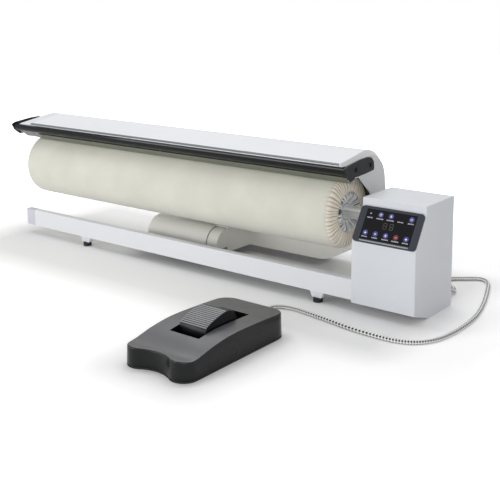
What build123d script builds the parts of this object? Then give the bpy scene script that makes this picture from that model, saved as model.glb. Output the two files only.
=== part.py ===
"""Tabletop rotary flatwork ironer with a foot switch. Lengths in mm, Z up.

Working frame: X runs along the roller towards the control box, with x = 0 on the box's left face.
Y runs to the rear, with y = 0 on the box's front face. Z = 0 is the table.
The finished pieces are moved so that the origin is the middle of the footprint.
"""
from build123d import *
import math
import os

os.makedirs("parts", exist_ok=True)

# ---- clearances
running = 0.05          # radial play of a shaft in its bore
seat = 0.2              # gap between fixed pieces that lie against each other
moving_gap = 0.4        # gap between pieces that pass each other
shoe_gap = 0.4          # ironing shoe to roller cover when closed

# ---- control box
box_width = 125.0
box_depth = 139.0
box_height = 201.5
box_wall = 2.0
box_front_bottom = 17.5     # lower edge of the front face above the table
box_toe_depth = 55.0        # where the sloping underside meets the table
box_edge = 1.5              # rounding of the shell's outer edges
panel_top_drop = 14.5       # sloping panel's upper edge below the top of the box
panel_rise = 57.0
panel_setback = 36.0        # how far the sloping panel leans back
bezel_margin = 1.0
bezel_thickness = 2.5
bezel_corner = 7.0
glass_side_margin = 14.0
glass_bottom_margin = 6.7
glass_top_margin = 5.4
glass_thickness = 2.2
board_thickness = 1.6
board_depth = 8.0           # display board below the sloping face
board_margin = 8.0          # display board inside the panel's upper and lower edges
board_pillar = 3.0
digits_width = 30.0
digits_height = 16.0
digits_low = 26.0
power_board_inset = 22.0
power_board_bottom = 62.0
power_board_height = 66.0
power_board_room = 15.0     # from the rear cover to the board
transformer_width = 20.0

# ---- roller
roller_axis_y = 78.5
axis_below_top = 43.5       # roller's axis below the top of the control box
roller_radius = 70.0
roller_length = 844.0
roller_box_gap = 53.0       # from the roller's end to the control box
cover_thickness = 1.8
cover_shoulder = 12.0       # rounding of the cover over the roller's ends
gather_radius = 38.0        # edge of the gathered opening of the cover
padding_thickness = 6.9
drum_wall = 3.0
shaft_radius = 8.0
flare_radius = 14.6         # chrome sleeve over the bare shaft: at the roller, at its waist, at the box
waist_radius = 12.2
mouth_radius = 17.0
flare_recess = 7.0          # how far the sleeve reaches into the roller's end
disc_thickness = 4.0

# ---- drive inside the box
bearing_radius = 16.0
bearing_width = 10.0
frame_plate = 6.0
driven_radius = 36.0
motor_pulley_radius = 9.0
motor_z = 62.0
motor_radius = 30.0
motor_shaft_radius = 5.0
belt_width = 9.4
belt_thickness = 2.0
pulley_left = 60.0
pulley_flange = 2.0

# ---- ironing shoe on the hood
shoe_thickness = 3.0
shoe_left_inset = 29.0      # shoe's left end inside the roller's left end
shoe_end_gap = 0.5          # and its right end short of the hood's end wall
shoe_rear_angle = -12.0     # angles round the roller, from the rear over the top to the front
shoe_front_angle = 117.0
lip_radius = 8.0
lip_turn = 75.0
lip_length = 14.0
insulation_thickness = 8.0
insulation_rear_angle = -10.0
insulation_front_angle = 112.0
element_radius = 3.25
element_angles = (20.0, 45.0, 70.0, 95.0)
thermostat_radius = 8.0
thermostat_angle = 58.0

# ---- hood
hood_end_gap = 26.0         # from the hood's right face to the control box
hood_cover_short = 2.0      # the hood's sheet is shorter than the roller by this
hood_left_cap_length = 62.0
hood_right_cap_length = 12.0
hood_chamfer_depth = 10.0   # slanted outer edge of the right end plate, along the hood
hood_chamfer_length = 9.0   # and down its end face
left_chamfer_depth = 34.0
left_chamfer_length = 11.0
right_throat = ((53.5, 2.0), (45.0, 52.0), (71.0, 100.0))       # end walls' cut-outs: radius, angle
left_throat = ((53.5, 2.0), (49.0, 52.0), (54.0, 80.0), (65.5, 111.0), (91.5, 121.5))
brow_clearance = 2.0
hood_sheet = 1.5
cap_wall = 3.0
hood_front_y = 15.9
hood_round_radius = 63.3
hood_top_slope = 8.6        # degrees, top face falls towards the front
hood_rear_lean = 8.0        # degrees
hood_rear_room = 11.25      # from the insulation to the outside of the rear face
hood_round_height = 50.0    # centre of the big round above the roller's axis
hood_lean_height = 32.0     # where the rear face turns upright, above the roller's axis
hood_skirt = 40.0           # how far the rear face reaches below the roller's axis
trim_depth = 4.3
trim_lip_rise = 98.2        # lower edge of the front trim above the roller's axis
chrome_height = 1.7
rib_thickness = 6.0
beam_y = 30.0
beam_thickness = 2.0

# ---- finger guard
guard_plate = 3.0
guard_front = 12.0          # tip of the guard's arms
guard_length = 100.5
guard_rise = 104.0          # top of the guard's arms above the roller's axis
guard_depth = 35.0
guard_pivot_inset = 9.9     # pivot screw from the arm's rear end
guard_pivot_drop = 16.4     # pivot screw below the arm's top
guard_stop_inset = 60.3
guard_stop_drop = 18.0
guard_stop_play = 1.4
guard_screw_radius = 2.5
guard_head_radius = 4.2
guard_head_height = 1.6
guard_head_gap = 0.3
bar_front = 17.0
bar_depth = 10.8
bar_top_drop = 10.5         # bar below the top of the arms
bar_height = 15.7
bar_thickness = 3.0

# ---- base
rail_front_y = 4.0
rail_depth = 14.0
rail_bottom = 20.3
rail_height = 37.1
rail_length = 864.0
rail_wall = 1.5
rail_cap_length = 29.0
foot_radius = 9.0
foot_height = 9.0
foot_left_x = -694.0
foot_right_x = -76.0
beam_channel_depth = 40.0
beam_channel_bottom = 17.0
beam_channel_height = 16.0
frame_wall = 3.0
frame_rise = 11.0

# ---- pedestal and rear column
column_left = -570.0
column_width = 457.0
column_gap = 19.5           # between the hood's rear face and the column
column_depth = 71.0
column_bottom = 16.0
column_top = 150.0
column_corner = 85.0
sheet = 2.0
pedestal_width = 196.0
pedestal_height = 70.0
pedestal_cap_length = 28.0
pedestal_cap_inset = 2.0    # pedestal's end cap inside its housing
pedestal_cap_drop = 3.0     # end cap below the front cover
cover_front_y = 78.0
pedestal_housing_depth = 75.0

# ---- hinge and lift drive
hinge_inset = 21.0          # hinge axis behind the column's front face
hinge_z = 92.0
hinge_radius = 7.0
bush_radius = 9.0
post_radius = 13.0
post_foot = 15.0
post_rear = 20.0
post_thickness = 6.0
post_flange = 30.0
post_flange_height = 4.0
post_gap = 8.0              # from a hood arm to its post
arm_thickness = 8.0
arm_boss = 16.0
lever_length = 42.0
lever_boss = 9.0
lever_pin_radius = 4.0
rod_radius = 5.0
actuator_radius = 15.0
actuator_length = 60.0
screw_tube_radius = 11.0
fork_plate = 4.0
fork_play = 0.6             # lever to fork, each side
fork_half_height = 8.5
lift_angle = 12.0           # degrees, full opening of the hood

# ---- foot switch
pedal_width = 134.0
pedal_length = 253.0
pedal_centre_x = -91.0
pedal_rear_y = -155.0
pedal_rear_corner = 28.0
pedal_lobe = 24.0           # radius of the two front lobes
pedal_notch = 60.0          # radius of the hollow between them
pedal_wall = 2.5
pedal_floor = 3.0
pedal_height = 45.5
slot_width = 60.0
slot_front = 71.5           # from the pedal's front edge to the slot
slot_length = 124.0
rocker_width = 54.0
rocker_reach = 47.0         # from the axle to the treadle's nose
rocker_tail = 32.0
rocker_height = 64.5
rocker_nose_height = 48.8
axle_radius = 3.0
axle_z = 26.0
axle_y_from_rear = 115.0
rib_count = 11
rib_radius = 1.1

# ---- cord
cord_radius = 3.6
table_clearance = 0.1

# ---- derived places
panel_top_height = box_height - panel_top_drop
panel_bottom_height = panel_top_height - panel_rise
roller_axis_z = box_height - axis_below_top
roller_right = -roller_box_gap
roller_left = roller_right - roller_length
roller_axis = (roller_axis_y, roller_axis_z)
shoe_inner = roller_radius + shoe_gap
shoe_outer = shoe_inner + shoe_thickness
insulation_inner = shoe_outer + seat + 0.1
insulation_outer = insulation_inner + insulation_thickness
hood_right = -hood_end_gap
cover_right = hood_right - hood_right_cap_length
hood_cover_length = roller_length - hood_cover_short
cover_left = cover_right - hood_cover_length
hood_left = cover_left - hood_left_cap_length
shoe_right = hood_right - cap_wall - shoe_end_gap
shoe_left = roller_left + shoe_left_inset
hood_rear_y = roller_axis_y + insulation_outer + hood_rear_room
hood_bottom = roller_axis_z - hood_skirt
hood_lean_z = roller_axis_z + hood_lean_height
trim_lip_height = roller_axis_z + trim_lip_rise
hood_round = (
    hood_rear_y - (roller_axis_z + hood_round_height - hood_lean_z) * math.tan(math.radians(hood_rear_lean))
    - hood_round_radius / math.cos(math.radians(hood_rear_lean)),
    roller_axis_z + hood_round_height,
)
column_front = hood_rear_y + column_gap
column_rear = column_front + column_depth
column_right = column_left + column_width
pedestal_right = column_left + pedestal_width
pedestal_middle = column_left + pedestal_width / 2
pedestal_top = pedestal_height
housing_front = column_front - pedestal_housing_depth
left_arm_x = pedestal_middle
right_arm_x = column_left + column_right - pedestal_middle
hinge_y = column_front + hinge_inset
hinge = (hinge_y, hinge_z)
lever_z = hinge_z - lever_length
lift_travel = lever_length * math.sin(math.radians(lift_angle))
fork_half_width = arm_thickness / 2 + fork_play + fork_plate
frame_top = column_bottom + frame_rise
pedestal_bottom = frame_top + seat
rail_left = -rail_length
rail_rear = rail_front_y + rail_depth
frame_front = rail_rear + beam_channel_depth
pedal_front_y = pedal_rear_y - pedal_length
axle_y = pedal_rear_y - axle_y_from_rear
slot_front_y = pedal_front_y + slot_front
guard_right = hood_right + moving_gap
guard_left = hood_left - moving_gap
guard_top = roller_axis_z + guard_rise
guard_pivot = (guard_front + guard_length - guard_pivot_inset, guard_top - guard_pivot_drop)
guard_stop = (guard_front + guard_length - guard_stop_inset, guard_top - guard_stop_drop)
cord_z = cord_radius + table_clearance

# ---- origin: middle of the footprint of the machine with its foot switch
origin_x = (guard_left - guard_plate - guard_head_gap - guard_head_height + box_width) / 2
origin_y = (pedal_front_y + column_rear) / 2


# ------------------------------------------------------------------ helpers
def save(name, *solids):
    """Write one named piece, or a group of separate like pieces, in the finished frame."""
    body = solids[0] if len(solids) == 1 else Compound(list(solids))
    export_step(Pos(-origin_x, -origin_y, 0) * body, f"parts/{name}.step")


def block(x0, x1, y0, y1, z0, z1):
    """Box between two corners."""
    return Pos((x0 + x1) / 2, (y0 + y1) / 2, (z0 + z1) / 2) * Box(x1 - x0, y1 - y0, z1 - z0)


def rod_x(y, z, radius, x0, x1):
    """Round rod along X."""
    return Pos((x0 + x1) / 2, y, z) * Rot(0, 90, 0) * Cylinder(radius, x1 - x0)


def rod_y(x, z, radius, y0, y1):
    """Round rod along Y."""
    return Pos(x, (y0 + y1) / 2, z) * Rot(90, 0, 0) * Cylinder(radius, y1 - y0)


def rod_z(x, y, radius, z0, z1):
    """Upright round rod."""
    return Pos(x, y, (z0 + z1) / 2) * Cylinder(radius, z1 - z0)


def polar(radius, angle, centre=roller_axis):
    """Point in the side view, at an angle from the rear over the top to the front."""
    turn = math.radians(angle)
    return (centre[0] + radius * math.cos(turn), centre[1] + radius * math.sin(turn))


def arc(radius, start, end, centre=roller_axis):
    """Circular arc in the side view."""
    turns = (start, (start + end) / 2, end)
    return ThreePointArc(*[polar(radius, turn, centre) for turn in turns])


def side_face(*pieces):
    """Closed face in the side view, from corners given as pairs and curves, joined by straight lines."""
    edges = []
    first = here = None
    for piece in pieces:
        corner = isinstance(piece, tuple)
        start = Vector(*piece) if corner else piece @ 0
        if here is not None and (start - here).length > 1e-6:
            edges.append(Line(here, start))
        if first is None:
            first = start
        if not corner:
            edges.append(piece)
        here = start if corner else piece @ 1
    if (first - here).length > 1e-6:
        edges.append(Line(here, first))
    return make_face(edges)


def slab(face, x0, x1):
    """Side-view face made solid from x0 to x1."""
    return extrude(Plane.YZ.offset(x0) * face, x1 - x0)


def ring(radius, bore, x0, x1, centre=roller_axis):
    """Tube along X round a centre in the side view."""
    return rod_x(*centre, radius, x0, x1) - rod_x(*centre, bore, x0 - 1, x1 + 1)


# ------------------------------------------------------------------ base
def trapezoid_bracket(x, y, z0, z1):
    """Small folded bracket that widens upwards over a rubber foot."""
    half_low = foot_radius + 1
    half_high = foot_radius + 6
    face = make_face(Polyline((-half_low, z0), (half_low, z0), (half_high, z1), (-half_high, z1), close=True))
    depth = rail_depth - 2 * rail_wall
    return extrude(Plane.XZ.offset(-(y + depth / 2)) * Pos(x, 0) * face, depth)


def build_base():
    """Front rail, its end cap, brackets, feet, and the hidden frame that joins rail, column and box."""
    rail_middle_y = rail_front_y + rail_depth / 2
    rail_top = rail_bottom + rail_height
    outer = block(rail_left, 0, rail_front_y, rail_rear, rail_bottom, rail_top)
    inner = block(
        rail_left - 1, 1, rail_front_y + rail_wall, rail_rear - rail_wall,
        rail_bottom + rail_wall, rail_top - rail_wall,
    )
    save("front_rail", outer - inner)

    cap = block(rail_left - rail_cap_length, rail_left, rail_front_y, rail_rear, rail_bottom, rail_top)
    cap = fillet(cap.edges().filter_by(Axis.Z).group_by(Axis.X)[0], 2.0)
    plug = block(
        rail_left - 1, rail_left + 12, rail_front_y + rail_wall + seat, rail_rear - rail_wall - seat,
        rail_bottom + rail_wall + seat, rail_top - rail_wall - seat,
    )
    save("rail_end_cap", cap + plug)

    rear_foot_y = column_rear - foot_radius - 6
    front_places = [(foot_left_x, rail_middle_y, rail_bottom), (foot_right_x, rail_middle_y, rail_bottom)]
    rear_places = [
        (column_left + column_corner + 20, rear_foot_y, column_bottom),
        (column_right - column_corner - 20, rear_foot_y, column_bottom),
    ]
    places = front_places + rear_places
    save("foot_brackets", *[trapezoid_bracket(x, y, foot_height, top) for x, y, top in places])
    save("rubber_feet", *[rod_z(x, y, foot_radius, 0, foot_height) for x, y, _ in places])

    beam = block(
        column_left, pulley_left, rail_rear, frame_front,
        beam_channel_bottom, beam_channel_bottom + beam_channel_height,
    )
    hollow = block(
        column_left - 1, pulley_left + 1, rail_rear + frame_wall, frame_front - frame_wall,
        0, beam_channel_bottom + beam_channel_height - frame_wall,
    )
    save("base_beam", beam - hollow)

    frame_left = column_left + column_corner + frame_wall
    cross_right = pedestal_right - 4
    bar_front = column_front + 5
    bar_right = column_right - column_corner
    bar_rear = column_rear - sheet - seat
    channel = block(frame_left, cross_right, frame_front, bar_rear, column_bottom, frame_top)
    channel += block(frame_left, bar_right, bar_front, bar_rear, column_bottom, frame_top)
    hollow_top = frame_top - frame_wall
    channel -= block(
        frame_left + frame_wall, cross_right - frame_wall, frame_front + frame_wall, bar_rear - frame_wall,
        0, hollow_top,
    )
    channel -= block(
        frame_left + frame_wall, bar_right - frame_wall, bar_front + frame_wall, bar_rear - foot_radius * 3,
        0, hollow_top,
    )
    save("cross_frame", channel)


# ------------------------------------------------------------------ pedestal and column
def pedestal_quarter(inset):
    """Side view of the rounded pedestal front."""
    top = pedestal_top - inset
    front = cover_front_y + inset
    knee = pedestal_bottom + 0.2 * (pedestal_top - pedestal_bottom)
    shoulder = (front + 0.3 * (housing_front - front), knee + 0.71 * (top - knee))
    curve = ThreePointArc((front, knee), shoulder, (housing_front - seat, top))
    return side_face((front, pedestal_bottom), curve, (housing_front - seat, pedestal_bottom))


def build_pedestal():
    """Low housing under the roller that holds the lift drive: shell, rounded front cover and its end cap."""
    housing = block(column_left, pedestal_right, housing_front, column_front, column_bottom, pedestal_top)
    room = block(
        column_left + sheet, pedestal_right - sheet, housing_front - 1, column_front + 1,
        column_bottom - 1, pedestal_top - sheet,
    )
    save("pedestal_housing", housing - room)

    seam_x = pedestal_right - pedestal_cap_inset - pedestal_cap_length
    cover = slab(pedestal_quarter(0), column_left, seam_x)
    cover -= slab(pedestal_quarter(sheet), column_left + sheet, seam_x + 1)
    save("pedestal_front_cover", cover)

    cap_right = pedestal_right - pedestal_cap_inset
    cap = slab(pedestal_quarter(pedestal_cap_drop), seam_x + moving_gap, cap_right)
    cap -= slab(pedestal_quarter(pedestal_cap_drop + sheet), seam_x, cap_right - sheet)
    save("pedestal_end_cap", cap)


def rounded_column(inset, y0, y1):
    """Column body seen from the front, with rounded lower corners."""
    left = column_left + inset
    right = column_right - inset
    bottom = column_bottom + inset
    top = column_top - inset
    corner = column_corner - inset
    middle = corner * (1 - math.sqrt(0.5))
    curve_right = ThreePointArc(
        (right, bottom + corner), (right - middle, bottom + middle), (right - corner, bottom)
    )
    curve_left = ThreePointArc(
        (left + corner, bottom), (left + middle, bottom + middle), (left, bottom + corner)
    )
    face = side_face((left, top), (right, top), curve_right, curve_left)
    return extrude(Plane.XZ.offset(-y1) * face, y1 - y0)


def build_column():
    """Rear column shell and its vented back cover."""
    shell = rounded_column(0, column_front, column_rear)
    shell -= rounded_column(sheet, column_front + sheet, column_rear + 1)
    frame_left = column_left + column_corner + frame_wall
    shell -= block(
        frame_left - seat, column_right - column_corner + seat, column_front + sheet, column_rear + 1,
        column_bottom - 1, column_bottom + sheet + 1,
    )
    shell -= block(
        frame_left - seat, pedestal_right - 4 + seat, column_front - 1, column_front + sheet + 1,
        column_bottom - 1, frame_top + seat,
    )
    shell -= block(
        pedestal_middle - fork_half_width - 2, pedestal_middle + fork_half_width + 2, column_front - 1,
        column_front + sheet + 1, lever_z - fork_half_height - 2, lever_z + fork_half_height + 2,
    )
    slot_half = arm_thickness / 2 + 3
    slot_rear = hinge_y + arm_boss + 12
    slot_bottom = hinge_z - arm_boss
    for x in (left_arm_x, right_arm_x):
        shell -= block(x - slot_half, x + slot_half, column_front - 1, slot_rear, slot_bottom, column_top + 1)
    save("column_shell", shell)

    back = rounded_column(sheet + seat, column_rear - sheet, column_rear)
    vent_pitch = 12.0
    vent_count = 8
    middle_x = (column_left + column_right) / 2
    for side in (-1, 1):
        for row in range(vent_count):
            z = column_bottom + column_corner - 20 + vent_pitch * row
            x = middle_x + side * column_width / 4
            back -= block(x - 45, x + 45, column_rear - sheet - 1, column_rear + 1, z, z + 4)
    save("column_back_cover", back)


def build_hinge():
    """Two posts on the cross frame, their bushes, and the hinge shaft that turns with the hood."""
    post_left = left_arm_x + arm_thickness / 2 + post_gap
    post_right = right_arm_x - arm_thickness / 2 - post_gap - post_thickness
    front = hinge_y - post_foot
    rear = hinge_y + post_rear
    flange_top = frame_top + post_flange_height
    profile = side_face(
        (front, frame_top), (hinge_y - post_radius, hinge_z),
        arc(post_radius, 180, 0, hinge), (rear, frame_top),
    )
    posts = []
    bushes = []
    for x, flange_left in ((post_left, post_left), (post_right, post_right + post_thickness - post_flange)):
        post = slab(profile, x, x + post_thickness)
        post -= rod_x(*hinge, bush_radius, x - 1, x + post_thickness + 1)
        posts.append(post + block(flange_left, flange_left + post_flange, front, rear, frame_top, flange_top))
        bushes.append(ring(bush_radius, hinge_radius + running, x - 2, x + post_thickness + 2, hinge))
    save("hinge_posts", *posts)
    save("hinge_bushes", *bushes)
    overhang = arm_thickness / 2 + 12
    save("hinge_shaft", rod_x(*hinge, hinge_radius, left_arm_x - overhang, right_arm_x + overhang))


# ------------------------------------------------------------------ hood
def hood_points(inset, front_y):
    """Side line of the hood at an inset from its outside: front point, top round, lean end, rear bottom."""
    radius = hood_round_radius - inset
    top_angle = 90 + hood_top_slope
    turn = arc(radius, top_angle, hood_rear_lean, hood_round)
    top = turn @ 0
    rear = turn @ 1
    front_z = top.Y - (top.X - front_y) * math.tan(math.radians(hood_top_slope))
    lean = math.tan(math.radians(hood_rear_lean))
    lean_end = (rear.X + (rear.Y - hood_lean_z) * lean, hood_lean_z)
    bottom = (lean_end[0], hood_bottom)
    return (front_y, front_z), turn, lean_end, bottom


def hood_sheet_face(front_y, inset, thickness):
    """Closed side view of a bent sheet that follows the hood."""
    front, _, lean_end, bottom = hood_points(inset, front_y)
    turn = arc(hood_round_radius - inset, 90 + hood_top_slope, hood_rear_lean, hood_round)
    inner_front, _, inner_lean, inner_bottom = hood_points(inset + thickness, front_y)
    back = arc(hood_round_radius - inset - thickness, hood_rear_lean, 90 + hood_top_slope, hood_round)
    return side_face(front, turn, lean_end, bottom, inner_bottom, inner_lean, back, inner_front)


def hood_end_face(throat):
    """Side view of the hood's end wall, cut away along corners given as radius and angle round the roller."""
    front, turn, lean_end, bottom = hood_points(0, hood_front_y)
    lip = trim_lip_height - 2
    foot = (bottom[0] - 25, hood_bottom)
    corners = [polar(*corner) for corner in throat]
    return side_face(front, turn, lean_end, bottom, foot, *corners, (beam_y, lip), (hood_front_y, lip))


def slanted_block(inset, x_face, x_open, length, depth):
    """Whole section of the hood at an inset, from x_open to a face at x_face whose edges slant.

    The slant takes length off the face and depth off the hood's outside.
    """
    front, turn, lean_end, bottom = hood_points(inset, hood_front_y + inset)
    face = side_face(front, turn, lean_end, bottom, (front[0], hood_bottom))
    solid = slab(face, min(x_face, x_open), max(x_face, x_open))
    rim = solid.edges().filter_by(lambda edge: abs(edge.center().X - x_face) < 0.01)
    rim = rim.filter_by(lambda edge: edge.center().Y > front[0] + 1 and edge.center().Z > hood_bottom + 1)
    side = solid.faces().sort_by(lambda face: abs(face.center().X - x_face))[0]
    return chamfer(rim, length, depth, reference=side)


def hood_cap(x_face, x_open, length, depth, throat):
    """Hollow end cap of the hood with slanted outer edges, open towards x_open."""
    outwards = 1 if x_face > x_open else -1
    cap = slanted_block(0, x_face, x_open, length, depth)
    inner_face = x_face - outwards * cap_wall
    cap -= slanted_block(cap_wall, inner_face, x_open - outwards * depth, length, depth)
    return cap & slab(hood_end_face(throat), min(x_face, x_open) - 1, max(x_face, x_open) + 1)


def lip_geometry():
    """Centre of the shoe's front lip bend and the angle where the bend ends."""
    centre = polar(shoe_inner + lip_radius, shoe_front_angle)
    start = shoe_front_angle + 180
    return centre, start, start - lip_turn


def shoe_face():
    """Side view of the curved shoe with its raised front lip."""
    centre, start, end = lip_geometry()
    away = math.radians(end - 90)
    step = (lip_length * math.cos(away), lip_length * math.sin(away))
    low = polar(lip_radius, end, centre)
    high = polar(lip_radius - shoe_thickness, end, centre)
    return side_face(
        arc(shoe_inner, shoe_rear_angle, shoe_front_angle),
        arc(lip_radius, start, end, centre),
        (low[0] + step[0], low[1] + step[1]),
        (high[0] + step[0], high[1] + step[1]),
        arc(lip_radius - shoe_thickness, end, start, centre),
        arc(shoe_outer, shoe_front_angle, shoe_rear_angle),
    )


def lip_back_height(y):
    """Height of the back of the straight lip at a place y."""
    centre, _, end = lip_geometry()
    corner = polar(lip_radius - shoe_thickness, end, centre)
    return corner[1] + (corner[0] - y) / math.tan(math.radians(end - 180))


def hairpin(first_angle, second_angle, radius):
    """Heating rod that runs along the shoe, turns back at the left and returns."""
    middle = insulation_inner + element_radius + 0.1
    x0 = shoe_left + 60
    x1 = shoe_right - 8
    first = polar(middle, first_angle)
    second = polar(middle, second_angle)
    bend = math.dist(first, second) / 2
    crown = (x0 - bend, *polar(middle, (first_angle + second_angle) / 2))
    path = ThreePointArc((x0, *first), crown, (x0, *second))
    turn = sweep(Plane(origin=path @ 0, z_dir=path % 0) * Circle(radius), path=path)
    return turn + rod_x(*first, radius, x0, x1) + rod_x(*second, radius, x0, x1)


def rib_face():
    """Side view of a stiffening rib between the insulation and the hood's skin."""
    inset = hood_sheet + seat
    front, _, lean_end, _ = hood_points(inset, beam_y + beam_thickness + seat)
    turn = arc(hood_round_radius - inset, 90 + hood_top_slope, hood_rear_lean, hood_round)
    hug = insulation_outer + seat
    low_angle = insulation_rear_angle + 2
    return side_face(
        front, turn, lean_end, (lean_end[0], polar(hug, low_angle)[1]),
        arc(hug, low_angle, insulation_front_angle - 4),
        (front[0], polar(hug, insulation_front_angle - 4)[1]),
    )


def hood_arm(x, with_lever):
    """Load-carrying rib with a tail that runs down to the hinge shaft."""
    half = arm_thickness / 2
    neck = polar(insulation_outer + seat + 12, 5)
    tail = make_hull([*(Pos(*hinge) * Circle(arm_boss)).edges(), *(Pos(*neck) * Circle(11)).edges()])
    arm = slab(rib_face(), x - half, x + half) + slab(tail, x - half, x + half)
    if with_lever:
        tip = Pos(hinge_y, lever_z) * Circle(lever_boss)
        lever = make_hull([*(Pos(*hinge) * Circle(arm_boss)).edges(), *tip.edges()])
        arm += slab(lever, x - half, x + half)
        arm += rod_x(hinge_y, lever_z, lever_pin_radius, x - fork_half_width - 2, x + fork_half_width + 2)
    return arm - rod_x(hinge_y, hinge_z, hinge_radius + 0.02, x - half - 1, x + half + 1)


def build_hood():
    """Hood skin, trim, end pieces and the frame inside it."""
    skin_front = hood_front_y + trim_depth
    cover = slab(hood_sheet_face(skin_front, 0, hood_sheet), cover_left, cover_right)
    notch = arm_thickness / 2 + 2.5
    notch_top = roller_axis_z + 22
    for x in (left_arm_x, right_arm_x):
        cover -= block(x - notch, x + notch, hood_rear_y - 8, hood_rear_y + 2, hood_bottom - 1, notch_top)
    save("hood_cover", cover)

    edge, *_ = hood_points(0, skin_front - seat)
    nose, *_ = hood_points(0, hood_front_y)
    bend = ThreePointArc(edge, (hood_front_y + 1.0, nose[1] - 0.55), (hood_front_y, trim_lip_height))
    trim = side_face(bend, (hood_front_y + hood_sheet, trim_lip_height), (edge[0], edge[1] - hood_sheet))
    save("hood_front_trim", slab(trim, cover_left, cover_right))

    strip_front = hood_front_y - 0.5
    strip_low = trim_lip_height - 2
    strip = block(
        cover_left, cover_right, strip_front, hood_front_y + 2.3, strip_low, strip_low + chrome_height
    )
    save("hood_chrome_strip", strip)

    shelf_back = beam_y + beam_thickness
    roof = hood_points(hood_sheet + seat, beam_y)[0][1]
    roof_back = hood_points(hood_sheet + seat, shelf_back)[0][1]
    shelf_top = trim_lip_height - seat
    shelf_low = trim_lip_height - 2
    beam = side_face(
        (beam_y, lip_back_height(beam_y) + seat), (shelf_back, lip_back_height(shelf_back) + seat),
        (shelf_back, roof_back), (beam_y, roof), (beam_y, shelf_top),
        (hood_front_y + 2.5, shelf_top), (hood_front_y + 2.5, shelf_low), (beam_y, shelf_low),
    )
    save("hood_front_beam", slab(beam, cover_left + seat, cover_right - seat))

    beam_foot = (beam_y + 4 - roller_axis_y, roller_radius + brow_clearance)
    brow = (math.hypot(*beam_foot), math.degrees(math.atan2(beam_foot[1], beam_foot[0])))
    plate = hood_cap(
        hood_right, cover_right + seat, hood_chamfer_length, hood_chamfer_depth, (*right_throat, brow)
    )
    save("hood_end_plate_right", plate)
    cap = hood_cap(hood_left, cover_left - seat, left_chamfer_length, left_chamfer_depth, left_throat)
    save("hood_end_cap_left", cap)

    rib_places = (shoe_left + 45, (shoe_left + left_arm_x) / 2, shoe_right - 25)
    save("hood_ribs", *[slab(rib_face(), x, x + rib_thickness) for x in rib_places])
    save("hood_arm_left", hood_arm(left_arm_x, True))
    save("hood_arm_right", hood_arm(right_arm_x, False))


def build_shoe():
    """Curved aluminium shoe with its heating element, insulation and thermostat."""
    save("heated_shoe", slab(shoe_face(), shoe_left, shoe_right))
    pairs = list(zip(element_angles[::2], element_angles[1::2]))
    save("heating_element", *[hairpin(a, b, element_radius) for a, b in pairs])

    blanket = side_face(
        arc(insulation_inner, insulation_rear_angle, insulation_front_angle),
        arc(insulation_outer, insulation_front_angle, insulation_rear_angle),
    )
    insulation = slab(blanket, shoe_left + 1, shoe_right - 1)
    for a, b in pairs:
        insulation -= hairpin(a, b, element_radius + seat)
    sensor_x = left_arm_x - 67
    along = polar(1, thermostat_angle, (0, 0))
    sensor_foot = polar(insulation_inner + 0.1, thermostat_angle)
    sensor_plane = Plane(origin=(sensor_x, *sensor_foot), z_dir=(0, *along))
    pocket = extrude(sensor_plane * Circle(thermostat_radius + seat), insulation_thickness + 4)
    save("shoe_insulation", insulation - pocket)
    save("shoe_thermostat", extrude(sensor_plane * Circle(thermostat_radius), insulation_thickness + 3))


def guard_arm_face():
    """Side view of a guard arm: a long plate with a hooked front tip."""
    shares = [
        (0.0, 0.29), (0.1, 0.17), (0.54, 0.02), (0.79, 0.0), (0.91, 0.09), (0.985, 0.3), (1.0, 0.55),
        (1.0, 0.76), (0.72, 0.83), (0.46, 0.87), (0.34, 0.87), (0.3, 1.0), (0.21, 0.98), (0.07, 0.68),
    ]
    corners = [(guard_front + along * guard_length, guard_top - down * guard_depth) for along, down in shares]
    face = side_face(*corners)
    return fillet(face.vertices().sort_by(Axis.X)[-2:], 2.5)


def build_guard():
    """Finger guard: bar along the hood's mouth, two arms and the screws that carry them."""
    top = guard_top - bar_top_drop
    low = top - bar_height
    rear = bar_front + bar_depth
    middle = (bar_front + 0.03 * bar_depth, top - 0.57 * bar_height)
    inner_middle = (middle[0] + bar_thickness, middle[1] + 0.1 * bar_height)
    toe = (rear - 0.72 * bar_thickness, low)
    heel = (rear, low + 0.72 * bar_thickness)
    outer = ThreePointArc((bar_front, top), middle, toe)
    inner = ThreePointArc(heel, inner_middle, (bar_front + bar_thickness, top))
    save("guard_bar", slab(side_face(outer, inner), guard_left, guard_right))

    for name, x in (("guard_arm_right", guard_right), ("guard_arm_left", guard_left - guard_plate)):
        arm = slab(guard_arm_face(), x, x + guard_plate)
        arm -= rod_x(*guard_pivot, guard_screw_radius + running, x - 1, x + guard_plate + 1)
        arm -= rod_x(*guard_stop, guard_screw_radius + guard_stop_play, x - 1, x + guard_plate + 1)
        save(name, arm)

    right_face = guard_right + guard_plate + guard_head_gap
    left_face = guard_left - guard_plate - guard_head_gap
    screws = []
    for place in (guard_pivot, guard_stop):
        right_head = rod_x(*place, guard_head_radius, right_face, right_face + guard_head_height)
        left_head = rod_x(*place, guard_head_radius, left_face - guard_head_height, left_face)
        screws.append(right_head + rod_x(*place, guard_screw_radius, hood_right, right_face))
        screws.append(left_head + rod_x(*place, guard_screw_radius, left_face, hood_left))
    save("guard_screws", *screws)


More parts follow.
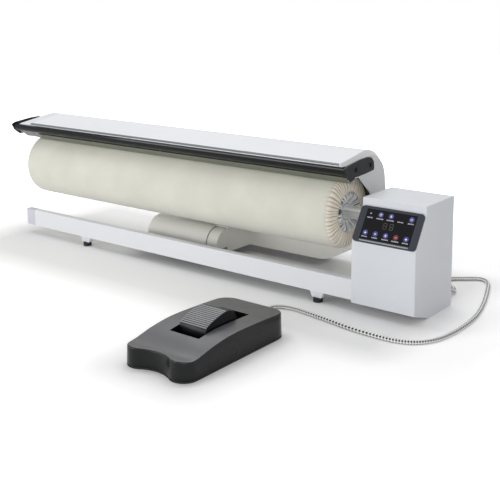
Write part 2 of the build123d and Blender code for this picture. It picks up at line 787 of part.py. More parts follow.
# ------------------------------------------------------------------ lift drive
def build_lift():
    """Electric actuator lying in the pedestal and the forked rod that pulls the hood's lever."""
    x = pedestal_middle
    fork_inside = hinge_y - lever_boss - 3
    fork_front = fork_inside - fork_plate
    fork_rear = hinge_y + lever_boss
    motor_front = housing_front + 2
    motor_rear = motor_front + actuator_length
    tube_rear = fork_front - lift_travel - 1
    saddle_top = lever_z - 0.75 * actuator_radius
    body = rod_y(x, lever_z, actuator_radius, motor_front, motor_rear)
    body += rod_y(x, lever_z, screw_tube_radius, motor_rear - 1, tube_rear)
    body += block(x - 12, x + 12, motor_front + 10, motor_rear - 10, frame_top, saddle_top)
    body -= rod_y(x, lever_z, rod_radius + running, motor_rear - 12, tube_rear + 1)
    save("lift_actuator", body)

    inner = arm_thickness / 2 + fork_play
    fork = block(
        x - fork_half_width, x + fork_half_width, fork_front, fork_rear,
        lever_z - fork_half_height, lever_z + fork_half_height,
    )
    fork -= block(x - inner, x + inner, fork_inside, fork_rear + 1, lever_z - 20, lever_z + 20)
    pin_play = 0.3
    slot = block(
        x - 20, x + 20, hinge_y - lever_pin_radius - pin_play, hinge_y + lever_pin_radius + pin_play,
        lever_z - lever_pin_radius - 0.4, lever_z + lever_pin_radius + 1.6,
    )
    rod = rod_y(x, lever_z, rod_radius, motor_rear - 2, fork_front + 1)
    save("lift_rod", fork - slot + rod)


# ------------------------------------------------------------------ control box
def box_outline():
    """Side view of the control box."""
    return side_face(
        (0, box_front_bottom), (0, panel_bottom_height), (panel_setback, panel_top_height),
        (panel_setback, box_height), (box_depth, box_height), (box_depth, 0), (box_toe_depth, 0),
    )


panel_length = math.hypot(panel_setback, panel_rise)
panel_normal = (0, -panel_rise / panel_length, panel_setback / panel_length)
panel_plane = Plane(origin=(0, 0, panel_bottom_height), x_dir=(1, 0, 0), z_dir=panel_normal)


def on_panel(x0, x1, s0, s1, low, high, corner=0.0):
    """Plate on the sloping panel: x and slope distance s, from depth low to depth high."""
    face = Rectangle(x1 - x0, s1 - s0) if corner == 0 else RectangleRounded(x1 - x0, s1 - s0, corner)
    placed = panel_plane.offset(low) * Pos((x0 + x1) / 2, (s0 + s1) / 2) * face
    return extrude(placed, high - low)


def build_box():
    """Box shell with its sloping front panel, base, rear cover, inlet and cord gland."""
    inner = offset(box_outline(), amount=-box_wall, kind=Kind.INTERSECTION)
    inside_right = box_width - box_wall
    outside = slab(box_outline(), 0, box_width)
    rounded = outside.edges().filter_by(lambda edge: edge.center().Z > box_front_bottom + 1)
    rounded = rounded.filter_by(lambda edge: edge.center().Z > panel_bottom_height - 1 or edge.center().Y < 1)
    shell = fillet(rounded, box_edge) - slab(inner, box_wall, inside_right)
    shell -= block(box_wall, inside_right, box_wall, box_depth + 1, -1, box_front_bottom + box_wall)
    shell -= block(box_wall, inside_right, box_depth - 12, box_depth + 1, 0, box_height - box_wall)
    shell -= rod_x(*roller_axis, mouth_radius + 1.5, -1, box_wall + 1)
    shell -= block(
        -1, box_wall + 1, rail_rear - seat, frame_front + seat, beam_channel_bottom - seat,
        beam_channel_bottom + beam_channel_height + seat,
    )
    window_left = glass_side_margin + 6
    window = on_panel(window_left, box_width - window_left, 14, panel_length - 13, -box_wall - 1, 1)
    save("box_shell", shell - window)

    rear_inside = box_depth - box_wall - seat
    left = box_wall + seat
    right = inside_right - seat
    slope = box_front_bottom / box_toe_depth
    front_low = box_front_bottom - slope * left
    floor = side_face(
        (left, front_low), (box_toe_depth, 0), (rear_inside, 0), (rear_inside, box_wall),
        (box_toe_depth + 0.3, box_wall), (left, front_low + box_wall),
    )
    save("box_base", slab(floor, left, right))

    inlet_x = 68.0
    inlet_z = 34.0
    gland_z = 16.0
    gland_x = 100.0
    back = block(left, right, box_depth - box_wall, box_depth, seat, box_height - box_wall - seat)
    back -= block(inlet_x - 14.5, inlet_x + 14.5, 100, box_depth + 1, inlet_z - 11.5, inlet_z + 11.5)
    back -= rod_y(gland_x, gland_z, 6.2, 100, box_depth + 1)
    save("box_rear_cover", back)

    socket = block(inlet_x - 14, inlet_x + 14, box_depth - 18, box_depth, inlet_z - 11, inlet_z + 11)
    socket += block(inlet_x - 24, inlet_x + 24, box_depth, box_depth + 2, inlet_z - 13, inlet_z + 13)
    socket -= block(inlet_x - 12, inlet_x + 12, box_depth - 15, box_depth + 3, inlet_z - 9, inlet_z + 9)
    pins = ((inlet_x - 7, inlet_z - 3.5), (inlet_x, inlet_z + 3.5), (inlet_x + 7, inlet_z - 3.5))
    for x, z in pins:
        socket += block(x - 2, x + 2, box_depth - 16, box_depth - 2, z - 1, z + 1)
    save("mains_inlet", socket)

    gland_tip = cord_points()[0][1]
    outline = Polyline(
        (0, box_depth - 14), (6.0, box_depth - 14), (6.0, box_depth), (9.5, box_depth), (9.5, box_depth + 5),
        (6.6, box_depth + 6), (5.0, gland_tip), (0, gland_tip), close=True,
    )
    gland = revolve(make_face(outline), Axis.Y)
    save("cord_gland", Pos(gland_x, 0, gland_z) * gland)


def build_panel():
    """Bezel, glass and circuit boards of the control panel."""
    bezel_right = box_width - bezel_margin
    bezel = on_panel(bezel_margin, bezel_right, 0.4, panel_length - 0.4, 0, bezel_thickness, bezel_corner)
    glass_left = glass_side_margin
    glass_right = box_width - glass_side_margin
    glass_top = panel_length - glass_top_margin
    bezel -= on_panel(
        glass_left - seat, glass_right + seat, glass_bottom_margin - seat, glass_top + seat,
        -1, bezel_thickness + 1,
    )
    save("panel_bezel", bezel)
    save("panel_glass", on_panel(glass_left, glass_right, glass_bottom_margin, glass_top, 0, glass_thickness))

    board_top = -board_depth + board_thickness
    middle = box_width / 2
    board_low = board_margin
    board_high = panel_length - board_margin
    display = on_panel(glass_left, glass_right, board_low, board_high, -board_depth, board_top)
    display += on_panel(
        middle - digits_width / 2, middle + digits_width / 2, digits_low, digits_low + digits_height,
        board_top - 0.5, -0.6,
    )
    for x in (glass_left + board_pillar, glass_right - board_pillar):
        for s in (board_low + board_pillar, board_high - board_pillar):
            half = board_pillar / 2
            display += on_panel(x - half, x + half, s - half, s + half, board_top - 0.5, -box_wall - seat)

    rear_inside = box_depth - box_wall
    power_y = rear_inside - power_board_room
    power_left = power_board_inset
    power_right = box_width - power_board_inset
    power_top = power_board_bottom + power_board_height
    power = block(power_left, power_right, power_y, power_y + board_thickness, power_board_bottom, power_top)
    pillar_inset = 2 * board_pillar
    for x in (power_left + pillar_inset, power_right - pillar_inset):
        for z in (power_board_bottom + pillar_inset, power_top - pillar_inset):
            power += rod_y(x, z, board_pillar, power_y, rear_inside - seat)
    core_left = power_left + 2 * pillar_inset
    core_top = power_top - 8
    power += block(
        core_left, core_left + transformer_width, power_y - transformer_width, power_y,
        core_top - transformer_width, core_top,
    )
    save("circuit_boards", display, power)


# ------------------------------------------------------------------ roller and its drive
def build_drive():
    """Bearing frame, bearings, motor, pulleys and belt in the box."""
    left_plate = 6.0
    right_plate = box_width - box_wall - seat - 9
    foot_z = box_wall
    plate_front = frame_front
    plate_rear = roller_axis_y + bearing_radius + 9.5
    plate_top = roller_axis_z + bearing_radius + 12
    frame = block(left_plate, right_plate + frame_plate, plate_front, plate_rear, foot_z, foot_z + 4)
    for x in (left_plate, right_plate):
        frame += block(x, x + frame_plate, plate_front, plate_rear, foot_z, plate_top)
        frame -= rod_x(*roller_axis, bearing_radius + 0.02, x - 1, x + frame_plate + 1)
    save("bearing_frame", frame)

    overhang = (bearing_width - frame_plate) / 2
    bearings = []
    for x in (left_plate - overhang, right_plate - overhang):
        bearings.append(ring(bearing_radius, shaft_radius + running, x, x + bearing_width))
    save("roller_bearings", *bearings)

    motor_left = left_plate + frame_plate
    motor = rod_x(roller_axis_y, motor_z, motor_radius, motor_left, pulley_left - 6)
    motor += block(motor_left, pulley_left - 20, plate_front + 4, plate_rear - 4, foot_z + 4, motor_z)
    motor -= rod_x(roller_axis_y, motor_z, motor_shaft_radius + running, pulley_left - 22, pulley_left)
    save("drive_motor", motor)

    belt_left = pulley_left + pulley_flange + 0.3
    pulley_right = belt_left + belt_width + 0.3 + pulley_flange
    inner_driven = driven_radius + 0.3
    inner_motor = motor_pulley_radius + 0.3

    def loop(extra):
        big = Pos(*roller_axis) * Circle(inner_driven + extra)
        small = Pos(roller_axis_y, motor_z) * Circle(inner_motor + extra)
        return make_hull([*big.edges(), *small.edges()])

    save("drive_belt", slab(loop(belt_thickness) - loop(0), belt_left, belt_left + belt_width))

    def pulley(centre, radius, bore):
        wheel = rod_x(*centre, radius, pulley_left, pulley_right)
        for x in (pulley_left, pulley_right - pulley_flange):
            wheel += rod_x(*centre, radius + 2.5, x, x + pulley_flange)
        return wheel - rod_x(*centre, bore, pulley_left - 1, pulley_right + 1) if bore else wheel

    driven = pulley(roller_axis, driven_radius, shaft_radius + 0.02)
    for turn in range(0, 360, 60):
        driven -= rod_x(*polar(23, turn), 7, pulley_left - 1, pulley_right + 1)
    save("driven_pulley", driven)
    small = pulley((roller_axis_y, motor_z), motor_pulley_radius, 0)
    small += rod_x(roller_axis_y, motor_z, motor_shaft_radius, pulley_left - 20, pulley_right + 3)
    save("motor_pulley", small)


def turned(points, *curves):
    """Solid of revolution about the roller's axis from (x, radius) corners and curves."""
    return Pos(0, *roller_axis) * revolve(side_face(*points, *curves), Axis.X)


def roller_end(sign):
    """Place along X from the roller's middle out to an end, for the right (1) or left (-1) end."""
    middle = (roller_left + roller_right) / 2
    return lambda inward: middle + sign * (roller_length / 2 - inward)


def build_roller():
    """Shaft with chrome flares, drum, discs, padding, cotton cover and gathered ends."""
    flare_left = roller_right - flare_recess
    flare_right = -3.0
    waist = (2 * flare_left + flare_right) / 3
    shaft_left = roller_left + 2
    shaft_right = box_width - box_wall - 5
    flare = ThreePointArc((flare_left, flare_radius), (waist, waist_radius), (flare_right, mouth_radius))
    save("roller_shaft", turned(
        [(shaft_left, 0), (shaft_left, shaft_radius), (flare_left, shaft_radius), flare,
         (flare_right, shaft_radius), (shaft_right, shaft_radius), (shaft_right, 0)]
    ))

    cover_inner = roller_radius - cover_thickness
    drum_radius = cover_inner - 0.3 - padding_thickness - seat
    drum_left = roller_left + 8
    drum_right = roller_right - 8
    save("roller_drum", ring(drum_radius, drum_radius - drum_wall, drum_left, drum_right))
    discs = []
    hub_radius = shaft_radius + 7
    for x in (drum_left + 4, drum_right - 4 - disc_thickness):
        disc = ring(drum_radius - drum_wall - 0.02, shaft_radius + 0.02, x, x + disc_thickness)
        disc += ring(hub_radius, shaft_radius + 0.02, x - 2, x + disc_thickness + 2)
        discs.append(disc)
    save("drum_end_discs", *discs)
    save("roller_padding", ring(cover_inner - 0.3, drum_radius + seat, roller_left + 11, roller_right - 11))

    right = roller_end(1)
    left = roller_end(-1)
    bend = cover_shoulder * (1 - math.sqrt(0.5))
    inner_bend = cover_thickness + (cover_shoulder - cover_thickness) * (1 - math.sqrt(0.5))
    shoulder_radius = roller_radius - cover_shoulder
    outer_right = ThreePointArc(
        (right(cover_shoulder), roller_radius), (right(bend), roller_radius - bend),
        (right(0), shoulder_radius),
    )
    outer_left = ThreePointArc(
        (left(0), shoulder_radius), (left(bend), roller_radius - bend), (left(cover_shoulder), roller_radius)
    )
    inner_right = ThreePointArc(
        (right(cover_thickness), shoulder_radius), (right(inner_bend), roller_radius - inner_bend),
        (right(cover_shoulder), cover_inner),
    )
    inner_left = ThreePointArc(
        (left(cover_shoulder), cover_inner), (left(inner_bend), roller_radius - inner_bend),
        (left(cover_thickness), shoulder_radius),
    )
    save("roller_cover", turned(
        [outer_left, outer_right, (right(0), gather_radius), (right(cover_thickness), gather_radius),
         inner_right, inner_left, (left(cover_thickness), gather_radius), (left(0), gather_radius)]
    ))

    gathers = []
    for place, hole in ((right, flare_radius + 0.4), (left, shaft_radius + 0.4)):
        rim = gather_radius - seat
        crown = ThreePointArc((place(0.5), rim), (place(0.6), (rim + hole) / 2 + 3), (place(6.2), hole))
        gathers.append(turned([crown, (place(8.4), hole), (place(3.5), rim)]))
    save("gathered_ends", *gathers)


# ------------------------------------------------------------------ foot switch
def pedal_outline(inset):
    """Plan of the foot switch: rounded rear, and a hollow front between two lobes."""
    half = pedal_width / 2 - inset
    rear = pedal_rear_y - inset
    corner = pedal_rear_corner - inset
    lobe = pedal_lobe - inset
    notch = pedal_notch + inset
    lobe_x = half - lobe
    lobe_y = pedal_front_y + pedal_lobe
    notch_y = lobe_y - math.sqrt((lobe + notch) ** 2 - lobe_x ** 2)
    meet_x = lobe_x * notch / (lobe + notch)
    meet_y = notch_y + (lobe_y - notch_y) * notch / (lobe + notch)
    lobe_end = math.degrees(math.atan2(meet_y - lobe_y, meet_x - lobe_x))
    right_lobe = arc(lobe, lobe_end, 0, (lobe_x, lobe_y))
    left_lobe = arc(lobe, 180, 180 - lobe_end, (-lobe_x, lobe_y))
    hollow = ThreePointArc((-meet_x, meet_y), (0, notch_y + notch), (meet_x, meet_y))
    rear_right = arc(corner, 0, 90, (half - corner, rear - corner))
    rear_left = arc(corner, 90, 180, (-half + corner, rear - corner))
    return Pos(pedal_centre_x, 0) * side_face(hollow, right_lobe, rear_right, rear_left, left_lobe)


def pedal_profile(drop):
    """Side view of the foot switch, with its wavy top lowered by drop."""
    front = pedal_front_y - 2
    rear = pedal_rear_y + 2
    shares = [(0.0, 0.73), (0.105, 0.7), (0.26, 0.88), (0.436, 0.99), (0.67, 0.98), (1.0, 0.89)]
    wave = Spline(*[(front + along * (rear - front), up * pedal_height - drop) for along, up in shares])
    return side_face(wave, (rear, 0), (front, 0))


def pedal_block(inset, drop, z0):
    """Foot switch body with an inset plan and a lowered top, from height z0 up."""
    plan = extrude(Plane.XY.offset(z0) * pedal_outline(inset), 60)
    side = slab(pedal_profile(drop), pedal_centre_x - pedal_width, pedal_centre_x + pedal_width)
    return plan & side


def rocker_ramp():
    """Side line of the treadle's ribbed face, from its nose up to its crest."""
    nose = (axle_y - rocker_reach, rocker_nose_height)
    climb = rocker_height - rocker_nose_height
    halfway = (axle_y - 0.5 * rocker_reach, rocker_nose_height + 0.64 * climb)
    crest = (axle_y + 0.14 * rocker_reach, rocker_height)
    return Spline(nose, halfway, crest, tangents=((1, 0.35), (1, 0)))


def rocker_face():
    """Side view of the treadle: ribbed ramp that rises to the rear and rounds off downwards."""
    ramp = rocker_ramp()
    tail = axle_y + rocker_tail
    low = axle_z + 3
    shoulder = (axle_y + 0.77 * rocker_tail, rocker_height - 0.22 * (rocker_height - low))
    back = ThreePointArc(ramp @ 1, shoulder, (tail, low + 5))
    return side_face(
        (axle_y - rocker_reach, low + 2.5), ramp, back, (tail - 2, low + 1.5), (axle_y + 9, low),
        arc(8, 0, -180, (axle_y, axle_z)), (axle_y - 9, low),
    )


def build_pedal():
    """Foot switch: base, shell, ribbed treadle on its axle, switches, spring and cord."""
    x = pedal_centre_x
    half_slot = slot_width / 2
    shell = pedal_block(0, 0, pedal_floor + seat) - pedal_block(pedal_wall, pedal_wall, 0)
    slot_rear_y = slot_front_y + slot_length
    shell -= block(x - half_slot, x + half_slot, slot_front_y, slot_rear_y, pedal_floor + 10, 70)
    cord_hole_z = cord_points()[-1][2]
    shell -= rod_y(x, cord_hole_z, cord_radius + 0.6, pedal_rear_y - 6, pedal_rear_y + 1)
    save("pedal_shell", shell)

    ear = 4.0
    ear_inner = half_slot + 1
    base = extrude(pedal_outline(0), pedal_floor)
    for ear_left in (x - ear_inner - ear, x + ear_inner):
        base += block(ear_left, ear_left + ear, axle_y - 10, axle_y + 10, pedal_floor - 1, axle_z + 7)
    axle_half = ear_inner + ear
    base -= rod_x(axle_y, axle_z, axle_radius + 0.02, x - axle_half - 1, x + axle_half + 1)
    save("pedal_base", base)
    save("rocker_axle", rod_x(axle_y, axle_z, axle_radius, x - axle_half, x + axle_half))

    half = rocker_width / 2
    rocker = slab(rocker_face(), x - half, x + half)
    ramp = rocker_ramp()
    for i in range(rib_count):
        place = ramp @ ((i + 0.6) / (rib_count + 0.2))
        rocker += rod_x(place.X, place.Y, rib_radius, x - half + 1, x + half - 1)
    rocker -= rod_x(axle_y, axle_z, axle_radius + running, x - half - 1, x + half + 1)
    save("pedal_rocker", rocker)

    switches = []
    for y in (axle_y - 30, axle_y + 26):
        housing = block(x - 10, x + 10, y - 6, y + 6, pedal_floor, 19)
        switches.append(housing + rod_z(x, y, 2, 18, 27.4))
    save("pedal_switches", *switches)
    axle = (axle_y, axle_z)
    spring = ring(axle_radius + 2.6, axle_radius + 0.2, x + half + 0.5, x + ear_inner - seat, axle)
    save("pedal_spring", spring)


def cord_points():
    """Route of the foot switch's cord on the table, from the box's gland to the switch."""
    z = cord_z
    return [
        (100, 161, 16), (100, 175, 16), (101, 189, 10), (101, 203, z), (94, 218, z), (80, 230, z),
        (66, 241, z),
        (58, 256, z), (68, 272, z), (88, 286, z), (107, 302, z), (124, 298, z), (137, 278, z),
        (149, 245, z), (164, 203, z), (180, 151, z), (192, 98, z), (195, 45, z), (193, 2, z),
        (186, -36, z), (168, -65, z), (139, -80, z), (98, -81, z), (46, -77, z), (-6, -66, z),
        (-50, -59, z), (-86, -54, z), (-112, -61, z), (-122, -80, z), (-113, -101, z), (-98, -118, 6),
        (-91, pedal_rear_y + 17, 11), (-91, pedal_rear_y, 12),
    ]


def build_cord():
    """Braided cord as straight runs joined by arcs."""
    points = [Vector(*p) for p in cord_points()]
    runs = [b - a for a, b in zip(points, points[1:])]
    radii = []
    for before, after in zip(runs, runs[1:]):
        turn = math.radians(before.get_angle(after))
        radii.append(0.45 * min(before.length, after.length) / math.tan(turn / 2))
    route = FilletPolyline(*points, radius=radii)
    section = Plane(origin=route @ 0, z_dir=route % 0) * Circle(cord_radius)
    cord = sweep(section, path=route)
    save("pedal_cord", cord)


build_base()
build_pedestal()
build_column()
build_hinge()
build_hood()
build_shoe()
build_guard()
build_lift()
build_box()
build_panel()
build_drive()
build_roller()
build_pedal()
build_cord()
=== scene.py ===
"""Looks of a tabletop rotary flatwork ironer with a corded foot switch. Lengths in metres.

Places given in millimetres are measured from the control box: x from its left face,
y from its front face, z from the table.
"""
import math
import random

import bmesh
import bpy
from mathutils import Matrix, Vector, noise


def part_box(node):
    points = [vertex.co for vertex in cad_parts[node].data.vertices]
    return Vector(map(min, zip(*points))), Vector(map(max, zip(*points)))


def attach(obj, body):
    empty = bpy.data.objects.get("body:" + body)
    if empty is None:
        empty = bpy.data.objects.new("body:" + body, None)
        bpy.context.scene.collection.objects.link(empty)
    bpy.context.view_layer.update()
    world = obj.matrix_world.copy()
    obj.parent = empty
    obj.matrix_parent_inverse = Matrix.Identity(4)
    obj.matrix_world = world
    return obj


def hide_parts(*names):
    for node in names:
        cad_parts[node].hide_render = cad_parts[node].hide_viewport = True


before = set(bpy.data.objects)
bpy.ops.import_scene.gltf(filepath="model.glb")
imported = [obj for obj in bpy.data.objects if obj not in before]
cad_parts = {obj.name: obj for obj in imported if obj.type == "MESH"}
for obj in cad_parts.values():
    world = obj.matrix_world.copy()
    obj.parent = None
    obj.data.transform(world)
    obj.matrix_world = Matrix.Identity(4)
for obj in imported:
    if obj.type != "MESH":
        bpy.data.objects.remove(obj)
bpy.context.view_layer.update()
MM = 0.001
box_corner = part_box("box_shell")[0]


def at(x, y, z):
    """Point given in millimetres from the control box's front left lower corner."""
    return Vector((box_corner.x + x * MM, box_corner.y + y * MM, z * MM))


def srgb(red, green, blue):
    """Linear colour of an 8-bit screen colour."""
    def linear(value):
        share = value / 255
        return share / 12.92 if share <= 0.04045 else ((share + 0.055) / 1.055) ** 2.4
    return (linear(red), linear(green), linear(blue), 1.0)


# ------------------------------------------------------------------ camera
def add_camera():
    """Camera at the photograph's viewing angle, looking slightly down, with a little lens shift."""
    data = bpy.data.cameras.new("camera")
    data.sensor_width = 36
    data.lens = 65.877
    data.shift_y = -0.2
    camera = bpy.data.objects.new("camera", data)
    camera.location = at(810.7, -1325.0, 563.9)
    camera.rotation_euler = (math.radians(79.979), math.radians(0.285), math.radians(37.919))
    bpy.context.scene.collection.objects.link(camera)
    bpy.context.scene.camera = camera


# ------------------------------------------------------------------ materials
class Shader:
    """Small helper round one Principled material's node tree."""

    def __init__(self, name):
        self.material = bpy.data.materials.new(name)
        self.material.use_nodes = True
        self.tree = self.material.node_tree
        self.bsdf = self.tree.nodes["Principled BSDF"]

    def add(self, kind, **settings):
        node = self.tree.nodes.new(kind)
        for key, value in settings.items():
            if key in node.inputs:
                node.inputs[key].default_value = value
            else:
                setattr(node, key, value)
        return node

    def link(self, source, target):
        self.tree.links.new(source, target)

    def place(self, output="Object"):
        return self.add("ShaderNodeTexCoord").outputs[output]

    def grain(self, scale, detail=3.0, source=None):
        """Noise pattern over the object."""
        node = self.add("ShaderNodeTexNoise", Scale=scale, Detail=detail)
        self.link(source or self.place(), node.inputs["Vector"])
        return node.outputs["Fac"]

    def tint(self, factor, low, high, start=0.3, end=0.7):
        """Colour between two tones, following a pattern."""
        ramp = self.add("ShaderNodeValToRGB")
        ramp.color_ramp.elements[0].position = start
        ramp.color_ramp.elements[1].position = end
        ramp.color_ramp.elements[0].color = low
        ramp.color_ramp.elements[1].color = high
        self.link(factor, ramp.inputs["Fac"])
        return ramp.outputs["Color"]

    def spread(self, factor, low, high):
        """Number between two values, following a pattern."""
        node = self.add("ShaderNodeMapRange")
        node.inputs["From Min"].default_value = 0.3
        node.inputs["From Max"].default_value = 0.7
        node.inputs["To Min"].default_value = low
        node.inputs["To Max"].default_value = high
        self.link(factor, node.inputs["Value"])
        return node.outputs["Result"]

    def bump(self, height, distance, strength=1.0, below=None):
        node = self.add("ShaderNodeBump", Distance=distance, Strength=strength)
        self.link(height, node.inputs["Height"])
        if below is not None:
            self.link(below, node.inputs["Normal"])
        return node.outputs["Normal"]


def shade(color, factor):
    """Colour made lighter or darker."""
    return tuple(min(1.0, channel * factor) for channel in color[:3]) + (1.0,)


def surface(name, color, roughness, metallic=0.0, grain=900, depth=0.00002, mottle=0.03, vary=0.06,
            specular=0.5):
    """Painted, moulded or metal surface: fine grain, faint cloudiness and uneven gloss."""
    s = Shader(name)
    cloud = s.grain(9, 4.0)
    tone = s.tint(cloud, shade(color, 1 - mottle), shade(color, 1 + mottle))
    s.link(tone, s.bsdf.inputs["Base Color"])
    gloss = s.spread(s.grain(40, 5.0), roughness - vary, roughness + vary)
    s.link(gloss, s.bsdf.inputs["Roughness"])
    s.link(s.bump(s.grain(grain, 2.0), depth), s.bsdf.inputs["Normal"])
    s.bsdf.inputs["Metallic"].default_value = metallic
    s.bsdf.inputs["Specular IOR Level"].default_value = specular
    return s.material


def brushed_and_reflection_streaked(name, color, roughness, streak=(4, 900, 900), dark=0.88, light=1.08, metallic=1.0):
    """Metal with streaks of two tones, fine across and long along X: brushing grain with the default tones,
    and painted reflection bands where the tones lie far apart, as on the chrome.
    """
    s = Shader(name)
    mapping = s.add("ShaderNodeMapping")
    mapping.inputs["Scale"].default_value = streak
    s.link(s.place(), mapping.inputs["Vector"])
    lines = s.grain(1.0, 4.0, mapping.outputs["Vector"])
    tone = s.tint(lines, shade(color, dark), shade(color, light), 0.36, 0.64)
    s.link(tone, s.bsdf.inputs["Base Color"])
    s.link(s.spread(lines, roughness * 0.75, roughness * 1.3), s.bsdf.inputs["Roughness"])
    s.link(s.bump(lines, 0.00001), s.bsdf.inputs["Normal"])
    s.bsdf.inputs["Metallic"].default_value = metallic
    return s.material


WAVES_PER_UNIT = 0.314     # wave texture scale that gives one band a unit


def woven(name, crest, fold, thread=0.0009, depth=0.00008, reach=0.75):
    """Plain-woven cloth. The mesh attribute "fold" is 0 deep in a crease and 1 on its crest.

    The crest's tone is full where that attribute has come to reach; deeper in a crease the colour darkens
    toward the second tone, which is painted shade.
    """
    s = Shader(name)
    crease = s.add("ShaderNodeAttribute", attribute_name="fold")
    position = s.place()
    waves = []
    scale = WAVES_PER_UNIT / thread
    for direction in ("X", "Z"):
        wave = s.add("ShaderNodeTexWave", bands_direction=direction, Scale=scale, Distortion=1.5)
        wave.inputs["Detail Scale"].default_value = 3.0
        s.link(position, wave.inputs["Vector"])
        waves.append(wave.outputs["Fac"])
    weave = s.add("ShaderNodeMath", operation="MAXIMUM")
    s.link(waves[0], weave.inputs[0])
    s.link(waves[1], weave.inputs[1])
    # Colour darkened deep in each crease: painted shade.
    deep = s.tint(crease.outputs["Fac"], fold, crest, 0.0, reach)
    cloud = s.tint(s.grain(14, 5.0), (0.93, 0.93, 0.93, 1), (1, 1, 1, 1), 0.35, 0.65)
    mix = s.add("ShaderNodeMix", data_type="RGBA", blend_type="MULTIPLY")
    mix.inputs["Factor"].default_value = 1.0
    s.link(deep, mix.inputs["A"])
    s.link(cloud, mix.inputs["B"])
    s.link(mix.outputs["Result"], s.bsdf.inputs["Base Color"])
    soft = s.bump(s.grain(55, 4.0), 0.0006, 0.35)
    s.link(s.bump(weave.outputs["Value"], depth, 0.6, soft), s.bsdf.inputs["Normal"])
    s.bsdf.inputs["Roughness"].default_value = 0.9
    s.bsdf.inputs["Sheen Weight"].default_value = 0.25
    return s.material


BRAID_CYCLES = 112.0       # crossings along the whole cord
STRANDS_ROUND = 2.0


def braid_material():
    """Braided textile sleeve: pale strands crossing dark ones, laid out along the cord."""
    s = Shader("braided_sleeve")
    split = s.add("ShaderNodeSeparateXYZ")
    s.link(s.place("UV"), split.inputs["Vector"])
    strands = []
    for turn in (1, -1):
        along = s.add("ShaderNodeMath", operation="MULTIPLY")
        along.inputs[1].default_value = BRAID_CYCLES
        s.link(split.outputs["X"], along.inputs[0])
        around = s.add("ShaderNodeMath", operation="MULTIPLY_ADD")
        around.inputs[1].default_value = STRANDS_ROUND * turn
        s.link(split.outputs["Y"], around.inputs[0])
        s.link(along.outputs["Value"], around.inputs[2])
        phase = s.add("ShaderNodeMath", operation="MULTIPLY")
        phase.inputs[1].default_value = 2 * math.pi
        s.link(around.outputs["Value"], phase.inputs[0])
        wave = s.add("ShaderNodeMath", operation="SINE")
        s.link(phase.outputs["Value"], wave.inputs[0])
        strands.append(wave.outputs["Value"])
    cross = s.add("ShaderNodeMath", operation="MULTIPLY")
    s.link(strands[0], cross.inputs[0])
    s.link(strands[1], cross.inputs[1])
    tone = s.tint(cross.outputs["Value"], srgb(238, 238, 236), srgb(26, 26, 28), 0.08, 0.3)
    s.link(tone, s.bsdf.inputs["Base Color"])
    s.link(s.bump(cross.outputs["Value"], 0.0004, 0.8), s.bsdf.inputs["Normal"])
    s.bsdf.inputs["Roughness"].default_value = 0.8
    s.bsdf.inputs["Sheen Weight"].default_value = 0.2
    return s.material


def glowing(name, color, strength):
    """Mark on the glass, coloured and given a faint glow that is painted light."""
    s = Shader(name)
    tone = s.tint(s.grain(400, 2.0), shade(color, 0.8), shade(color, 1.1))
    s.link(tone, s.bsdf.inputs["Base Color"])
    s.link(tone, s.bsdf.inputs["Emission Color"])
    s.bsdf.inputs["Emission Strength"].default_value = strength
    s.bsdf.inputs["Roughness"].default_value = 0.4
    return s.material


WHITE = srgb(228, 230, 234)
enamel = surface("white_enamel", WHITE, 0.38, depth=0.00001, mottle=0.012)
moulding = surface("white_moulding", srgb(219, 222, 227), 0.42, grain=1600, depth=0.000015,
                   mottle=0.015)
warm_white = surface("warm_white_enamel", srgb(243, 242, 236), 0.42, depth=0.00001, mottle=0.012)
grey_end = surface("light_grey_moulding", srgb(178, 179, 181), 0.5, grain=1500)
plate_grey = surface("end_plate_grey", srgb(214, 215, 216), 0.42, grain=1500, mottle=0.02)
lilac_end = surface("lilac_grey_moulding", srgb(206, 206, 216), 0.5, grain=1500)
bevel_grey = surface("grey_strip", srgb(146, 149, 152), 0.35)
# Hood front trim: it stands for the white hood's rounded front edge, and this grey is painted shade on it.
front_edge_shade_grey = surface("front_edge_painted_shade", srgb(112, 116, 121), 0.25, depth=0.00001)
slate = surface("slate_bezel", srgb(50, 54, 63), 0.38, grain=1800, specular=0.3)
panel_black = surface("panel_glass", srgb(14, 14, 18), 0.1, grain=500, depth=0.000002, vary=0.03,
                      specular=0.16)
guard_black = surface("gloss_black_bar", srgb(8, 9, 11), 0.12, grain=350, depth=0.000004, vary=0.03,
                      specular=0.26)
charcoal = surface("charcoal_plate", srgb(38, 39, 42), 0.42, grain=1400, depth=0.00003, specular=0.2)
bright_edge = surface("bright_edge", srgb(186, 192, 194), 0.3, 1.0, grain=260, depth=0.000004, vary=0.04)
# Chrome: its strong dark and light bands round the shaft are painted reflection, and its low metallic lets
# the pale base colour stand in for reflected light.
chrome = brushed_and_reflection_streaked("chrome", srgb(236, 244, 241), 0.08, streak=(1.5, 150, 150), dark=0.5, light=1.2,
                 metallic=0.35)
steel = brushed_and_reflection_streaked("plain_steel", srgb(172, 174, 176), 0.34)
frame_paint = surface("frame_paint", srgb(150, 152, 155), 0.5)
shoe_coat = surface("ironing_shoe", srgb(138, 142, 132), 0.26, 0.85, grain=600, depth=0.000003, mottle=0.01,
                    vary=0.015)
tube_metal = brushed_and_reflection_streaked("drum_aluminium", srgb(205, 206, 210), 0.36)
rubber = surface("black_rubber", srgb(20, 20, 20), 0.75, grain=1100, depth=0.00005)
board_green = surface("circuit_board", srgb(34, 84, 56), 0.45, grain=300, depth=0.0002, mottle=0.3)
bronze = brushed_and_reflection_streaked("bronze_bush", srgb(176, 140, 84), 0.35)
pedal_plastic = surface("pedal_plastic", srgb(20, 21, 22), 0.24, grain=1500, depth=0.00002, mottle=0.05,
                        specular=0.3)
pedal_satin = surface("pedal_satin_top", srgb(78, 79, 82), 0.34, grain=1500, depth=0.00004, mottle=0.05)
